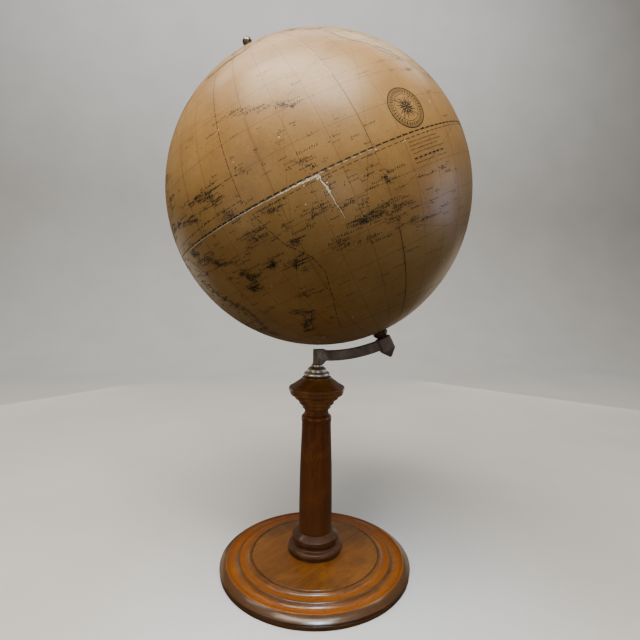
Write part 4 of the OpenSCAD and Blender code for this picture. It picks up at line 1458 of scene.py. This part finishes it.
# %% Island chains
chains = [
    (-155.6, 19.5, -155.6, 19.5, 0.1, 1, 4.2), (-156.4, 20.8, -159.7, 22.1, 0.35, 7, 1.7),
    (-161.5, 23, -178.4, 28.4, 0.5, 13, 0.5), (166.5, 11.5, 172, 6.2, 1.4, 34, 0.7),
    (162.5, 11.3, 166, 9.2, 0.5, 8, 0.55), (172.8, 3.2, 176.6, -2.4, 0.5, 16, 0.6),
    (176.3, -5.8, 179.8, -9.4, 0.5, 10, 0.5), (-174.4, -3, -170.4, -4.4, 0.8, 10, 0.5),
    (-172.4, -8.6, -171, -9.5, 0.3, 4, 0.5), (-172.6, -13.5, -169.6, -14.3, 0.3, 6, 1.3),
    (177.6, -17.8, 179.4, -16.6, 0.5, 9, 3.0), (178.6, -18.6, -178.6, -17.2, 0.8, 14, 0.8),
    (-175.2, -21.2, -173.8, -18.6, 0.4, 12, 0.7), (166.7, -14.4, 169.4, -19.8, 0.6, 20, 1.4),
    (164.2, -20.3, 166.9, -22.2, 0.1, 7, 1.8), (167.2, -20.9, 168, -21.6, 0.2, 3, 1.0),
    (154.8, -5.4, 161.8, -10.6, 0.7, 20, 2.0), (165.8, -10.7, 166.9, -11.6, 0.3, 5, 0.8),
    (138.2, 9.6, 163, 5.3, 1.3, 46, 0.55), (145.7, 18.8, 144.7, 13.4, 0.2, 12, 0.7),
    (134.3, 8, 134.7, 7, 0.2, 5, 0.8), (142.1, 27.2, 141.3, 24.6, 0.2, 6, 0.6),
    (-159.9, -18.9, -157.5, -21.6, 0.7, 9, 0.6), (-165.8, -10.8, -157.9, -9.1, 1.2, 8, 0.5),
    (-151.8, -16.4, -149.2, -17.8, 0.5, 12, 1.1), (-149.0, -14.4, -137.6, -20.4, 2.7, 44, 0.60),
    (-140.6, -8.2, -138.6, -10.3, 0.4, 11, 0.9), (-154.7, -22, -147.5, -23.9, 0.4, 7, 0.6),
    (-135.4, -23.3, -134.5, -22.9, 0.3, 5, 0.6), (-130.8, -24.4, -124.7, -24.8, 0.3, 4, 0.5),
    (-162.2, 6.1, -159.2, 3.8, 0.2, 5, 0.7), (-157.6, 2.1, -157.2, 1.7, 0.1, 1, 1.5),
    (-156, -3.9, -154.8, -5.7, 0.2, 3, 0.6), (-152.2, -9.9, -150.2, -11.4, 0.3, 4, 0.5),
    (-91.4, -0.2, -89.4, -0.9, 0.5, 9, 1.3), (-112, 18.7, -110.8, 19, 0.2, 4, 0.6),
    (-109.2, 10.2, -109.2, 10.3, 0.05, 1, 0.5), (-109.4, -27.1, -109.3, -27.2, 0.05, 1, 0.8),
    (-80.6, -33.8, -78.8, -33.6, 0.1, 3, 0.5), (-176.6, -43.8, -176.2, -44.3, 0.1, 3, 0.9),
    (-178, -29.3, -178.8, -31.3, 0.1, 5, 0.5), (167.9, -29, 159.1, -31.5, 0.1, 3, 0.5),
    (-31.2, 39.5, -25.1, 37, 0.3, 9, 0.7), (-17, 32.8, -16.3, 32.6, 0.1, 3, 0.8),
    (-17.9, 28.6, -13.6, 28.8, 0.3, 7, 1.1), (-25, 17, -23, 15, 0.6, 10, 0.7),
    (-61, -51.8, -58.3, -51.8, 0.25, 9, 1.7), (-38, -54, -36, -54.8, 0.1, 5, 1.1),
    (-62.8, 17.8, -61, 10.5, 0.25, 20, 0.9), (-78.5, 26.5, -72.5, 21.5, 0.8, 24, 0.9),
    (55.2, -4.4, 56, -4.8, 0.5, 9, 0.5), (57.6, -20.3, 55.4, -21.1, 0.05, 3, 1.2),
    (43.3, -11.6, 45.2, -12.8, 0.1, 4, 0.8), (73, 7, 73.2, -0.6, 0.35, 30, 0.42),
    (72.2, 12, 73, 8.4, 0.4, 10, 0.42), (71.6, -5.2, 72.4, -7.4, 0.5, 12, 0.42),
    (68.8, -49, 70.4, -49.6, 0.3, 9, 1.5), (92.9, 13.6, 92.6, 10.6, 0.15, 9, 1.2),
    (93, 8.9, 93.8, 6.8, 0.1, 7, 0.8), (-165, 54.2, -188, 52, 0.5, 34, 1.2),
    (145.5, 44, 156, 50.6, 0.3, 18, 1.1), (130.5, 30.4, 124, 24.4, 0.35, 24, 0.7),
    (127, 0.5, 131, -3.6, 1.2, 24, 1.7), (115.5, -8.4, 126.5, -8.8, 0.5, 20, 2.2),
    (122, 12, 124.5, 9.8, 0.8, 16, 2.1), (147, -2, 152.8, -3.4, 0.5, 14, 1.6),
    (20, 37.5, 28, 36.2, 1.2, 22, 0.9), (-7.4, 57.6, -2.2, 60.4, 0.6, 14, 0.9),
    (8, 63.5, 18, 68.6, 0.5, 22, 0.7), (-134, 55, -132, 57.8, 0.8, 14, 1.5),
    (-74.6, -44, -74.8, -51, 0.6, 26, 1.6), (147, 75, 141, 76, 0.6, 5, 3.0),
    (96, 79, 100, 80, 0.7, 5, 2.6), (52, 80.5, 62, 81, 0.7, 14, 1.4), (-97, 74, -88, 77.5, 2.2, 14, 3.4),
    (-110, 76, -102, 77, 1.2, 9, 3.2), (-28, -57, -26, -59.5, 0.1, 7, 0.5),
    (-62, -62.2, -56, -61.5, 0.2, 8, 1.0), (165.8, -50.6, 169, -52.5, 0.2, 4, 0.7),
    (-12.4, -37.2, -12.2, -37.4, 0.1, 2, 0.6), (-5.7, -15.9, -14.4, -8, 0.02, 2, 0.6),
    (-64.8, 32.3, -64.7, 32.4, 0.03, 1, 0.5), (105.6, -10.5, 96.9, -12.1, 0.1, 3, 0.6),
    (-170, 57, -172, 60.4, 0.1, 3, 1.0), (-168, 63.5, -171, 63.4, 0.05, 1, 2.2),
    (-154, 57.6, -153, 57.2, 0.1, 2, 2.0)]
print("chains:", len(chains))

# %% Islands and reefs
islands = Ink("small_islands", 0.06)
reefs = Ink("reef_dots", 0.05)
labels = []
for lon1, lat1, lon2, lat2, spread, count, size in chains:
    for k in range(count):
        t = (k + rng.uniform(0.1, 0.9)) / count
        lon = lon1 + (lon2 - lon1) * t + rng.normal() * spread * 0.7
        lat = lat1 + (lat2 - lat1) * t + rng.normal() * spread * 0.5
        long_mm = (0.50 + size * 1.1) * rng.uniform(0.6, 1.15) * (0.65 + 0.35 / (1 + k * 0.2))
        wide_mm = long_mm * rng.uniform(0.38, 0.8)
        lean = rng.uniform(-0.9, 0.9)
        edge = np.linspace(0, 2 * math.pi, 10 if size < 1 else 16)[:-1]
        wobble = rng.uniform(0.65, 1.2, len(edge))
        shape = np.stack([np.cos(edge) * long_mm / 2 * wobble, np.sin(edge) * wide_mm / 2 * wobble],
                         1) * (1.0 if size > 1 else 1.35)
        islands.patch(beside(lon, lat, shape, lean))
        for _ in range(5 if size < 1 else 9):
            turn, out = rng.uniform(0, 2 * math.pi), rng.uniform(0.5, 1.9) + long_mm / 2
            spot = beside(lon, lat, (out * math.cos(turn), out * math.sin(turn)))
            dot = rng.uniform(0.26, 0.55)
            reefs.bars([stroke(*spot, dot, dot * 0.5, lean)])
        if rng.uniform() < (0.55 if count > 2 else 1.0):
            side = 1 if rng.uniform() < 0.6 else -1
            labels.append((lon + side * rng.uniform(0.3, 0.8), lat + rng.uniform(-0.45, 0.45),
                           rng.uniform(5.0, 12.0) * side, rng.uniform(1.15, 1.75)))
    if count > 4:
        middle = ((lon1 + lon2) / 2, (lat1 + lat2) / 2)
        labels.append((middle[0] + rng.uniform(-1, 1),
                       middle[1] + rng.uniform(1.0, 1.8) * (1 if rng.uniform() < 0.5 else -1),
                       rng.uniform(13, 22), 2.1))
islands.make(black_ink)
reefs.make(black_ink)
print("place names to set beside islands:", len(labels))

# %% [markdown]
# ## Names that cannot be read
#
# Place names give an old map its texture, but here they are only rhythm: each letter is one or two
# strokes of random height, so a word has the grey of small type and says nothing. Words run along the
# parallels. Their starting points are scattered over the land, and beside the islands and coasts at
# sea.

# %% One word
def word(lon, lat, length_mm, tall_mm):
    """Strokes of one illegible word from a place, running east, or west when the length is negative."""
    start = min(0.0, length_mm)
    x, end = start, start + abs(length_mm)
    out = []
    first = True
    while x < end:
        tall = tall_mm * (1.35 if first else rng.uniform(0.55, 1.0))
        thick = 0.26 + tall_mm * 0.14
        lean = tall * 0.22
        out.append([(x, 0), (x + thick, 0), (x + thick + lean, tall), (x + lean, tall)])
        kind = rng.randint(0, 4)
        reach = tall_mm * rng.uniform(0.45, 0.7)
        if kind == 0:
            out.append([(x, 0), (x + reach, 0), (x + reach, thick * 0.9), (x, thick * 0.9)])
        elif kind == 1:
            out.append([(x + lean, tall - thick), (x + lean + reach, tall - thick),
                        (x + lean + reach, tall), (x + lean, tall)])
        elif kind == 2:
            out.append([(x + reach, 0), (x + reach + thick, 0),
                        (x + reach + thick + lean * 0.6, tall * 0.7),
                        (x + reach + lean * 0.6, tall * 0.7)])
        x += reach + tall_mm * rng.uniform(0.35, 0.6)
        first = False
    return beside(lon, lat, np.array(out))


print("words are rows of strokes that lean to the east")

# %% Names beside islands and on land
names = Ink("place_names", 0.05)
for label in labels:
    names.bars(word(*label))
inland = []
while len(inland) < 900:
    lon, up = rng.uniform(-180, 180), rng.uniform(-0.92, 0.98)
    lat = math.degrees(math.asin(up))
    if abs(lat) < 76:
        inland.append((lon, lat))
inland = [spot for spot, land in zip(inland, on_land(inland)) if land]
crowd = [(lon + rng.uniform(-4, 4), lat + rng.uniform(-3, 3)) for lon, lat in inland for _ in range(4)]
crowd = [spot for spot, land in zip(crowd, on_land(crowd)) if land]
for lon, lat in crowd:
    names.bars(word(lon, lat, rng.uniform(3, 8), rng.uniform(0.6, 1.0)))
for lon, lat in inland[::7]:
    names.bars(word(lon, lat, rng.uniform(14, 26), 1.9))
print("names on land:", len(crowd))

# %% Names along the coasts and at sea
for shape in coasts.values():
    for lon, lat in shape[::9]:
        side = 1 if rng.uniform() < 0.5 else -1
        names.bars(word(lon + side * 0.5, lat, side * rng.uniform(3, 7), rng.uniform(0.6, 0.9)))
for _ in range(160):
    lon, lat = rng.uniform(-180, 180), rng.uniform(-58, 58)
    if not on_land([(lon, lat)])[0] and not (-138 < lon < -112 and -10 < lat < 16):
        names.bars(word(lon, lat, rng.uniform(5, 13), rng.uniform(0.9, 1.4)))
for _ in range(230):
    lon, lat = rng.uniform(130, 250), float(np.clip(rng.normal() * 13 - 4, -32, 30))
    if not (-140 < lon - 360 < -110 and -11 < lat < 17) and not on_land([(lon if lon < 180 else lon - 360,
        lat)])[0]:
        names.bars(word(lon, lat, rng.uniform(3, 9), rng.uniform(0.9, 1.5)))
        for _ in range(rng.randint(0, 4)):
            spot = beside(lon, lat, (rng.uniform(-4, 4), rng.uniform(-2.2, 2.2)))
            dot = rng.uniform(0.3, 0.75)
            names.bars([stroke(*spot, dot, dot * 0.5)])
print("strokes gathered so far:", len(names.faces))

# %% Harbour names
harbour_coasts = [
    (173.0, -35.5, 178.0, -38.5, 14), (174.8, -41.2, 170.5, -43.5, 12), (170.5, -45.8, 167.0, -46.2, 9),
    (172.8, -40.8, 168.0, -44.5, 12), (142.6, -11.2, 146.2, -19.0, 20), (146.2, -19.0, 153.2, -27.0, 24),
    (153.2, -27.0, 150.2, -37.0, 22), (150.0, -37.4, 140.5, -38.4, 16), (148.0, -40.8, 146.5, -43.4, 10)]
for lon1, lat1, lon2, lat2, count in harbour_coasts:
    for k in range(count):
        t = (k + rng.uniform()) / count
        lon = lon1 + (lon2 - lon1) * t + rng.uniform(-0.6, 0.6)
        lat = lat1 + (lat2 - lat1) * t + rng.uniform(-0.6, 0.6)
        side = 1 if rng.uniform() < 0.5 else -1
        names.bars(word(lon, lat, side * rng.uniform(4, 9), rng.uniform(1.0, 1.5)))
names.make(black_ink)
print("words beside islands and on land:", len(labels) + len(crowd))

# %% [markdown]
# ## A compass rose and a scale
#
# Makers put their name in an empty stretch of ocean. Here the same place holds a compass rose without
# letters: sixteen points, each split into a dark and a light half, with four rings. Under it, a plain
# scale bar and a few rows of strokes fill the space of the usual notes.

# %% Compass rose
ROSE = (-123.6, 7.2)
rose = Ink("compass_rose", 0.065)


def ring_at(place, radius_mm, steps=64):
    return beside(place[0], place[1], [(radius_mm * math.cos(a), radius_mm * math.sin(a))
                                       for a in np.linspace(0, 2 * math.pi, steps + 1)[:-1]])


for radius, width in ((18.6, 0.9), (17.5, 0.3), (12.4, 0.45), (4.6, 0.6)):
    rose.line(ring_at(ROSE, radius), width, closed=True)
for k in range(72):
    a = math.radians(5 * k)
    inner = 14.9 if k % 2 else 13.6
    tick = [(inner * math.cos(a), inner * math.sin(a)), (16.9 * math.cos(a), 16.9 * math.sin(a))]
    rose.line(beside(*ROSE, tick), 0.42 if k % 2 else 0.85)
for k in range(16):
    a = math.radians(90 - 22.5 * k)
    if k % 4 == 0:
        tip, shoulder, spread_angle = 15.9, 3.8, math.pi / 8
    elif k % 2 == 0:
        tip, shoulder, spread_angle = 13.4, 4.6, math.pi / 10
    else:
        tip, shoulder, spread_angle = 10.2, 5.2, math.pi / 16
    left = (shoulder * math.cos(a + spread_angle), shoulder * math.sin(a + spread_angle))
    right_hand = (shoulder * math.cos(a - spread_angle), shoulder * math.sin(a - spread_angle))
    point = (tip * math.cos(a), tip * math.sin(a))
    rose.patch(beside(*ROSE, [(0, 0), right_hand, point]))
    rose.line(beside(*ROSE, [(0, 0), left, point]), 0.34)
rose.make(black_ink)

# %% Scale bar and note rows
notes = Ink("scale_and_notes", 0.06)
NOTE_TALL = 0.95
SCALE_TOP, SCALE_FOOT, SCALE_WEST, SCALE_EAST = -7.05, -7.45, -128.5, -114.5
note_rows = [(-128.6, -2.6, 36), (-128.8, -3.7, 40), (-129.0, -4.8, 34), (-128.6, -5.9, 42),
             (-128.4, -8.7, 22),
             (-118.8, -8.7, 14)]
for lon, lat, length in note_rows:
    notes.bars(word(lon, lat, length, NOTE_TALL))
for edge in (SCALE_TOP, SCALE_FOOT):
    notes.line(dense([(SCALE_WEST, edge), (SCALE_EAST, edge)], 1.0), 0.18)
scale_cells = []
for k in range(7):
    west, east = SCALE_WEST + 2 * k, SCALE_WEST + 1 + 2 * k
    scale_cells.append([(west, SCALE_FOOT), (east, SCALE_FOOT), (east, SCALE_TOP), (west, SCALE_TOP)])
notes.bars(scale_cells)
notes.make(black_ink)

# %% [markdown]
# ## The crack
#
# The ball is two shells joined at the equator, and the joint has opened: the plaster coat shows as a
# ragged white line, widest where a second crack runs off to the south. The plaster is drawn as strips
# whose two edges wander on their own, broken where paper still bridges the gap, with a thin dark line
# of shadow on the north side.

# %% Ragged strips and plaster
def ragged_strip(sheet, route, widths_mm, wander=0.45):
    unit = spokes(route)
    ahead = np.gradient(unit, axis=0)
    side = np.cross(unit, ahead)
    side /= np.linalg.norm(side, axis=1, keepdims=True)
    widths = np.interp(np.linspace(0, 1, len(route)), np.linspace(0, 1, len(widths_mm)), widths_mm)
    low = (widths * rng.uniform(1 - wander, 1 + wander, len(route)) / 2)[:, None] * side * MM / ball_r
    high = (widths * rng.uniform(1 - wander, 1 + wander, len(route)) / 2)[:, None] * side * MM / ball_r
    pair = np.stack([unit - low, unit + high], 1).reshape(-1, 3)
    sheet.add(pair, [(2 * i, 2 * i + 2, 2 * i + 3, 2 * i + 1) for i in range(len(route) - 1)])


def plaster_finish():
    finish = Finish("chipped plaster", Specular_IOR_Level=0.2)
    place = finish.place()
    crumb = finish.noise(place, 700.0, 4.0, 0.65)
    dirt = finish.rise(finish.noise(place, 90.0, 4.0, 0.6), 0.48, 0.66)
    tone = finish.ramp(crumb, [(0.32, (0.52, 0.42, 0.28)), (0.48, (0.86, 0.79, 0.66)),
                               (0.7, (0.93, 0.90, 0.82))])
    finish.feed("Base Color", finish.mix(tone, ink(0.30, 0.19, 0.09), dirt * 0.40))
    finish.feed("Roughness", 0.85 + crumb * 0.1)
    finish.feed("Normal", finish.bump(crumb, 0.7, 0.3))
    return finish


plaster = plaster_finish()
print("plaster finish:", len(plaster.tree.nodes), "nodes")

# %% Crack, chips and shadow
crack = Ink("crack_plaster", 0.075)
ragged_strip(crack, crack_route + rng.uniform(-0.06, 0.06, crack_route.shape),
             [0.22, 0.34, 0.40, 0.45, 0.50, 0.55, 0.75, 1.15, 1.7], 0.85)
for start in range(0, len(crack_tail) - 4, 5):
    ragged_strip(crack, crack_tail[start:start + 4]
                 + rng.uniform(-0.03, 0.03, (len(crack_tail[start:start + 4]), 2)), [0.15, 0.42, 0.2])
ragged_strip(crack, branch_route + rng.uniform(-0.08, 0.08, branch_route.shape),
             [1.2, 0.8, 1.7, 1.5, 0.7, 0.5, 0.40, 0.30, 0.22], 0.6)
chips = [
    (-157.6, -1.5, 1.5), (-155.8, -3.4, 0.9), (-163.5, -6.2, 0.8), (-155.9, -5.8, 1.1),
    (-161.8, -1.6, 0.8), (-139.6, -0.8, 1.0), (-130.2, 1.6, 0.45), (-177.9, 13.6, 0.55),
    (-120.5, -15.5, 0.4), (-146.5, 31.0, 0.5), (-108, -4, 0.5), (170.6, -13, 0.5), (60, 14, 0.8),
    (12, -20, 0.9), (-30, 30, 0.7)]
for lon, lat, size in chips:
    turns = np.linspace(0, 2 * math.pi, 12)[:-1]
    crack.patch(beside(lon, lat, np.stack([np.cos(turns), np.sin(turns) * 0.7], 1)
                       * (rng.uniform(0.5, 1.15, len(turns)) * size)[:, None]))
crack.make(plaster)
shadow = Ink("crack_shadow", 0.07)
ragged_strip(shadow, crack_route + (0, 0.17), [0.2, 0.3, 0.35, 0.4, 0.4, 0.45, 0.5, 0.5], 0.8)
ragged_strip(shadow, branch_route + (0.28, 0), [0.5, 0.4, 0.5, 0.35, 0.25, 0.2, 0.2, 0.1], 0.8)
shadow.make(printers_ink("crack shadow", (0.030, 0.016, 0.006), (0.10, 0.05, 0.02)))

# %% [markdown]
# ## Round papers at the poles
#
# Where twelve gores meet, their tips would never fit exactly, so a round paper with a hole for the axis
# covers them. Each is a shallow dome that follows the ball.

# %% Pole papers
def pole_paper(name, sign, node, inner=5.0, outer=20.0, rings=10, turns=96, paper_mm=0.35):
    points, faces = [], []
    levels = [(inner, -paper_mm)] + [(inner + (outer - inner) * k / rings, 0.0)
                                     for k in range(rings + 1)] + [(outer, -paper_mm)]
    for radius, lift in levels:
        tall = math.sqrt((ball_r / MM + lift) ** 2 - radius ** 2) * MM
        for k in range(turns):
            a = 2 * math.pi * k / turns
            spoke = across * math.cos(a) + level * math.sin(a)
            points.append(centre + spoke * radius * MM + north * sign * tall)
    for i in range(len(levels) - 1):
        for k in range(turns):
            face = (i * turns + k, i * turns + (k + 1) % turns, (i + 1) * turns + (k + 1) % turns,
                    (i + 1) * turns + k)
            faces.append(face if sign > 0 else face[::-1])
    piece = mesh_piece(name, points, faces, "globe", paper)
    facts = {"land": 0.0, "shore": 90.0, "scar": 90.0, "seam": 2.0, "lat": 87.0 * sign}
    for field, value in facts.items():
        store(piece.data, field, [value] * len(points))
    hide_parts(node)


pole_paper("north_pole_paper", 1, "north_cap_paper")
pole_paper("south_pole_paper", -1, "south_cap_paper")
poles = Ink("pole_rings", 0.05)
for sign in (-1, 1):
    for lat in (84.2, 86.5):
        poles.line(dense([(-180, lat * sign), (180, lat * sign)], 5.0)[:-1], 0.22, closed=True)
poles.make(brown_ink)

# %% [markdown]
# ## Floor and light
#
# A plain pale floor and soft light. One large panel hangs overhead and in front, so the ball is
# brightest near its top and falls off towards the south pole. A weak cool panel stands at the right and
# another shines down on the foot. Warm ones fill in from the left, from low in front and from both
# sides behind, and one lights the backdrop. The floor sends no bounced light or mirror image back to
# the globe, and the world is pale only where the camera sees it, so the ball keeps its own dark, warm
# tone.

# %% Floor
floor_finish = Finish("pale floor", Specular_IOR_Level=0.2, Roughness=0.9)
floor_place = floor_finish.place()
floor_cloud = floor_finish.noise(floor_place, 6.0, 4.0, 0.5)
floor_tone = floor_finish.ramp(floor_cloud, [(0.3, (0.60, 0.60, 0.59)), (0.7, (0.64, 0.64, 0.63))])
floor_finish.feed("Base Color", floor_tone)
sweep = [(-3.0, 0.0), (1.2, 0.0)] + [(1.2 + 0.8 * math.sin(a), 0.8 - 0.8 * math.cos(a))
                                     for a in (math.pi / 2 * k / 16 for k in range(1, 17))] + [(2.0, 4.0)]
floor_points = [(x, y, z) for y, z in sweep for x in (-4.0, 4.0)]
floor_faces = [(2 * k, 2 * k + 1, 2 * k + 3, 2 * k + 2) for k in range(len(sweep) - 1)]
floor_mesh = bpy.data.meshes.new("floor")
floor_mesh.from_pydata(floor_points, [], floor_faces)
floor_mesh.materials.append(floor_finish.material)
for face in floor_mesh.polygons:
    face.use_smooth = True
floor = bpy.data.objects.new("floor", floor_mesh)
bpy.context.collection.objects.link(floor)
floor.visible_diffuse = False
floor.visible_glossy = False
floor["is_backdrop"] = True
print("floor points:", len(floor_points))


# %% Light panels
def panel(name, spot, aim, width, height, watts, colour, spread=180):
    light = bpy.data.lights.new(name, "AREA")
    light.shape = "RECTANGLE"
    light.size, light.size_y = width, height
    light.energy = watts
    light.spread = math.radians(spread)
    light.color = colour
    lamp = bpy.data.objects.new(name, light)
    bpy.context.collection.objects.link(lamp)
    lamp.matrix_world = Matrix.Translation(spot) @ (Vector(aim) - Vector(spot)).to_track_quat("-Z",
        "Y").to_matrix().to_4x4()


panel("overhead", (-0.15, -0.33, 1.22), (0.0, -0.04, 0.45), 0.9, 0.50, 21.5, (1.0, 0.89, 0.72))
panel("cool_side", (1.25, -0.12, 0.50), (0.0, 0.0, 0.46), 0.50, 0.5, 0.22, (0.60, 0.72, 1.0), 50)
panel("cool_front", (0.0, -0.62, 1.02), (0.0, -0.12, 0.0), 0.44, 0.22, 0.30, (0.66, 0.80, 1.0), 20)
panel("left_fill", (-1.3, -1.1, 0.7), (0.0, 0.0, 0.25), 0.8, 0.8, 2.2, (1.0, 0.92, 0.84))
panel("low_front", (0.1, -1.3, 0.35), (0.0, 0.0, 0.12), 0.6, 0.3, 1.4, (1.0, 0.97, 0.98))
panel("back_left", (-0.80, 0.85, 0.14), (0.0, 0.0, 0.34), 0.7, 0.5, 0.8, (1.0, 0.86, 0.66))
panel("back_right", (0.80, 0.85, 0.14), (0.0, 0.0, 0.34), 0.7, 0.5, 0.8, (1.0, 0.86, 0.66))
panel("left_low", (-0.95, -0.55, 0.20), (0.0, 0.0, 0.20), 0.35, 0.35, 0.8, (1.0, 0.84, 0.60))
panel("backdrop", (0.0, 0.9, 2.2), (0.0, 2.2, 0.4), 3.0, 0.5, 34.0, (1.0, 1.0, 1.0))
print("light panels:", len(bpy.data.lights))

# %% World
world = bpy.data.worlds.new("studio")
world.use_nodes = True
room = world.node_tree.nodes
direction = room.new("ShaderNodeTexCoord")
split = room.new("ShaderNodeSeparateXYZ")
height = room.new("ShaderNodeMapRange")
height.inputs[1].default_value = -1.0
shade = room.new("ShaderNodeValToRGB")
set_stops(shade.color_ramp, [(0.0, (0.080, 0.064, 0.045)), (0.50, (0.105, 0.088, 0.066)),
                             (0.66, (0.17, 0.155, 0.135)), (1.0, (0.26, 0.245, 0.22))])
world.node_tree.links.new(direction.outputs["Generated"], split.inputs[0])
world.node_tree.links.new(split.outputs[2], height.inputs[0])
world.node_tree.links.new(height.outputs[0], shade.inputs[0])
seen = room.new("ShaderNodeLightPath")
pale = room.new("ShaderNodeMix")
pale.data_type = "RGBA"
pale.inputs[7].default_value = (0.50, 0.50, 0.50, 1.0)
world.node_tree.links.new(seen.outputs["Is Camera Ray"], pale.inputs[0])
world.node_tree.links.new(shade.outputs[0], pale.inputs[6])
world.node_tree.links.new(pale.outputs[2], room["Background"].inputs[0])
bpy.context.scene.world = world
print("world nodes:", len(room))

# %% [markdown]
# ## The two sizes side by side
#
# The finished surfaces must not make the globe bigger than its measured design, so both boxes are
# written down side by side.

# %% Sizes and finish
seen_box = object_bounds()
for corner, seen in zip(cad_box, seen_box):
    print("cad", [round(c / MM, 1) for c in corner], "visual", [round(c / MM, 1) for c in seen])
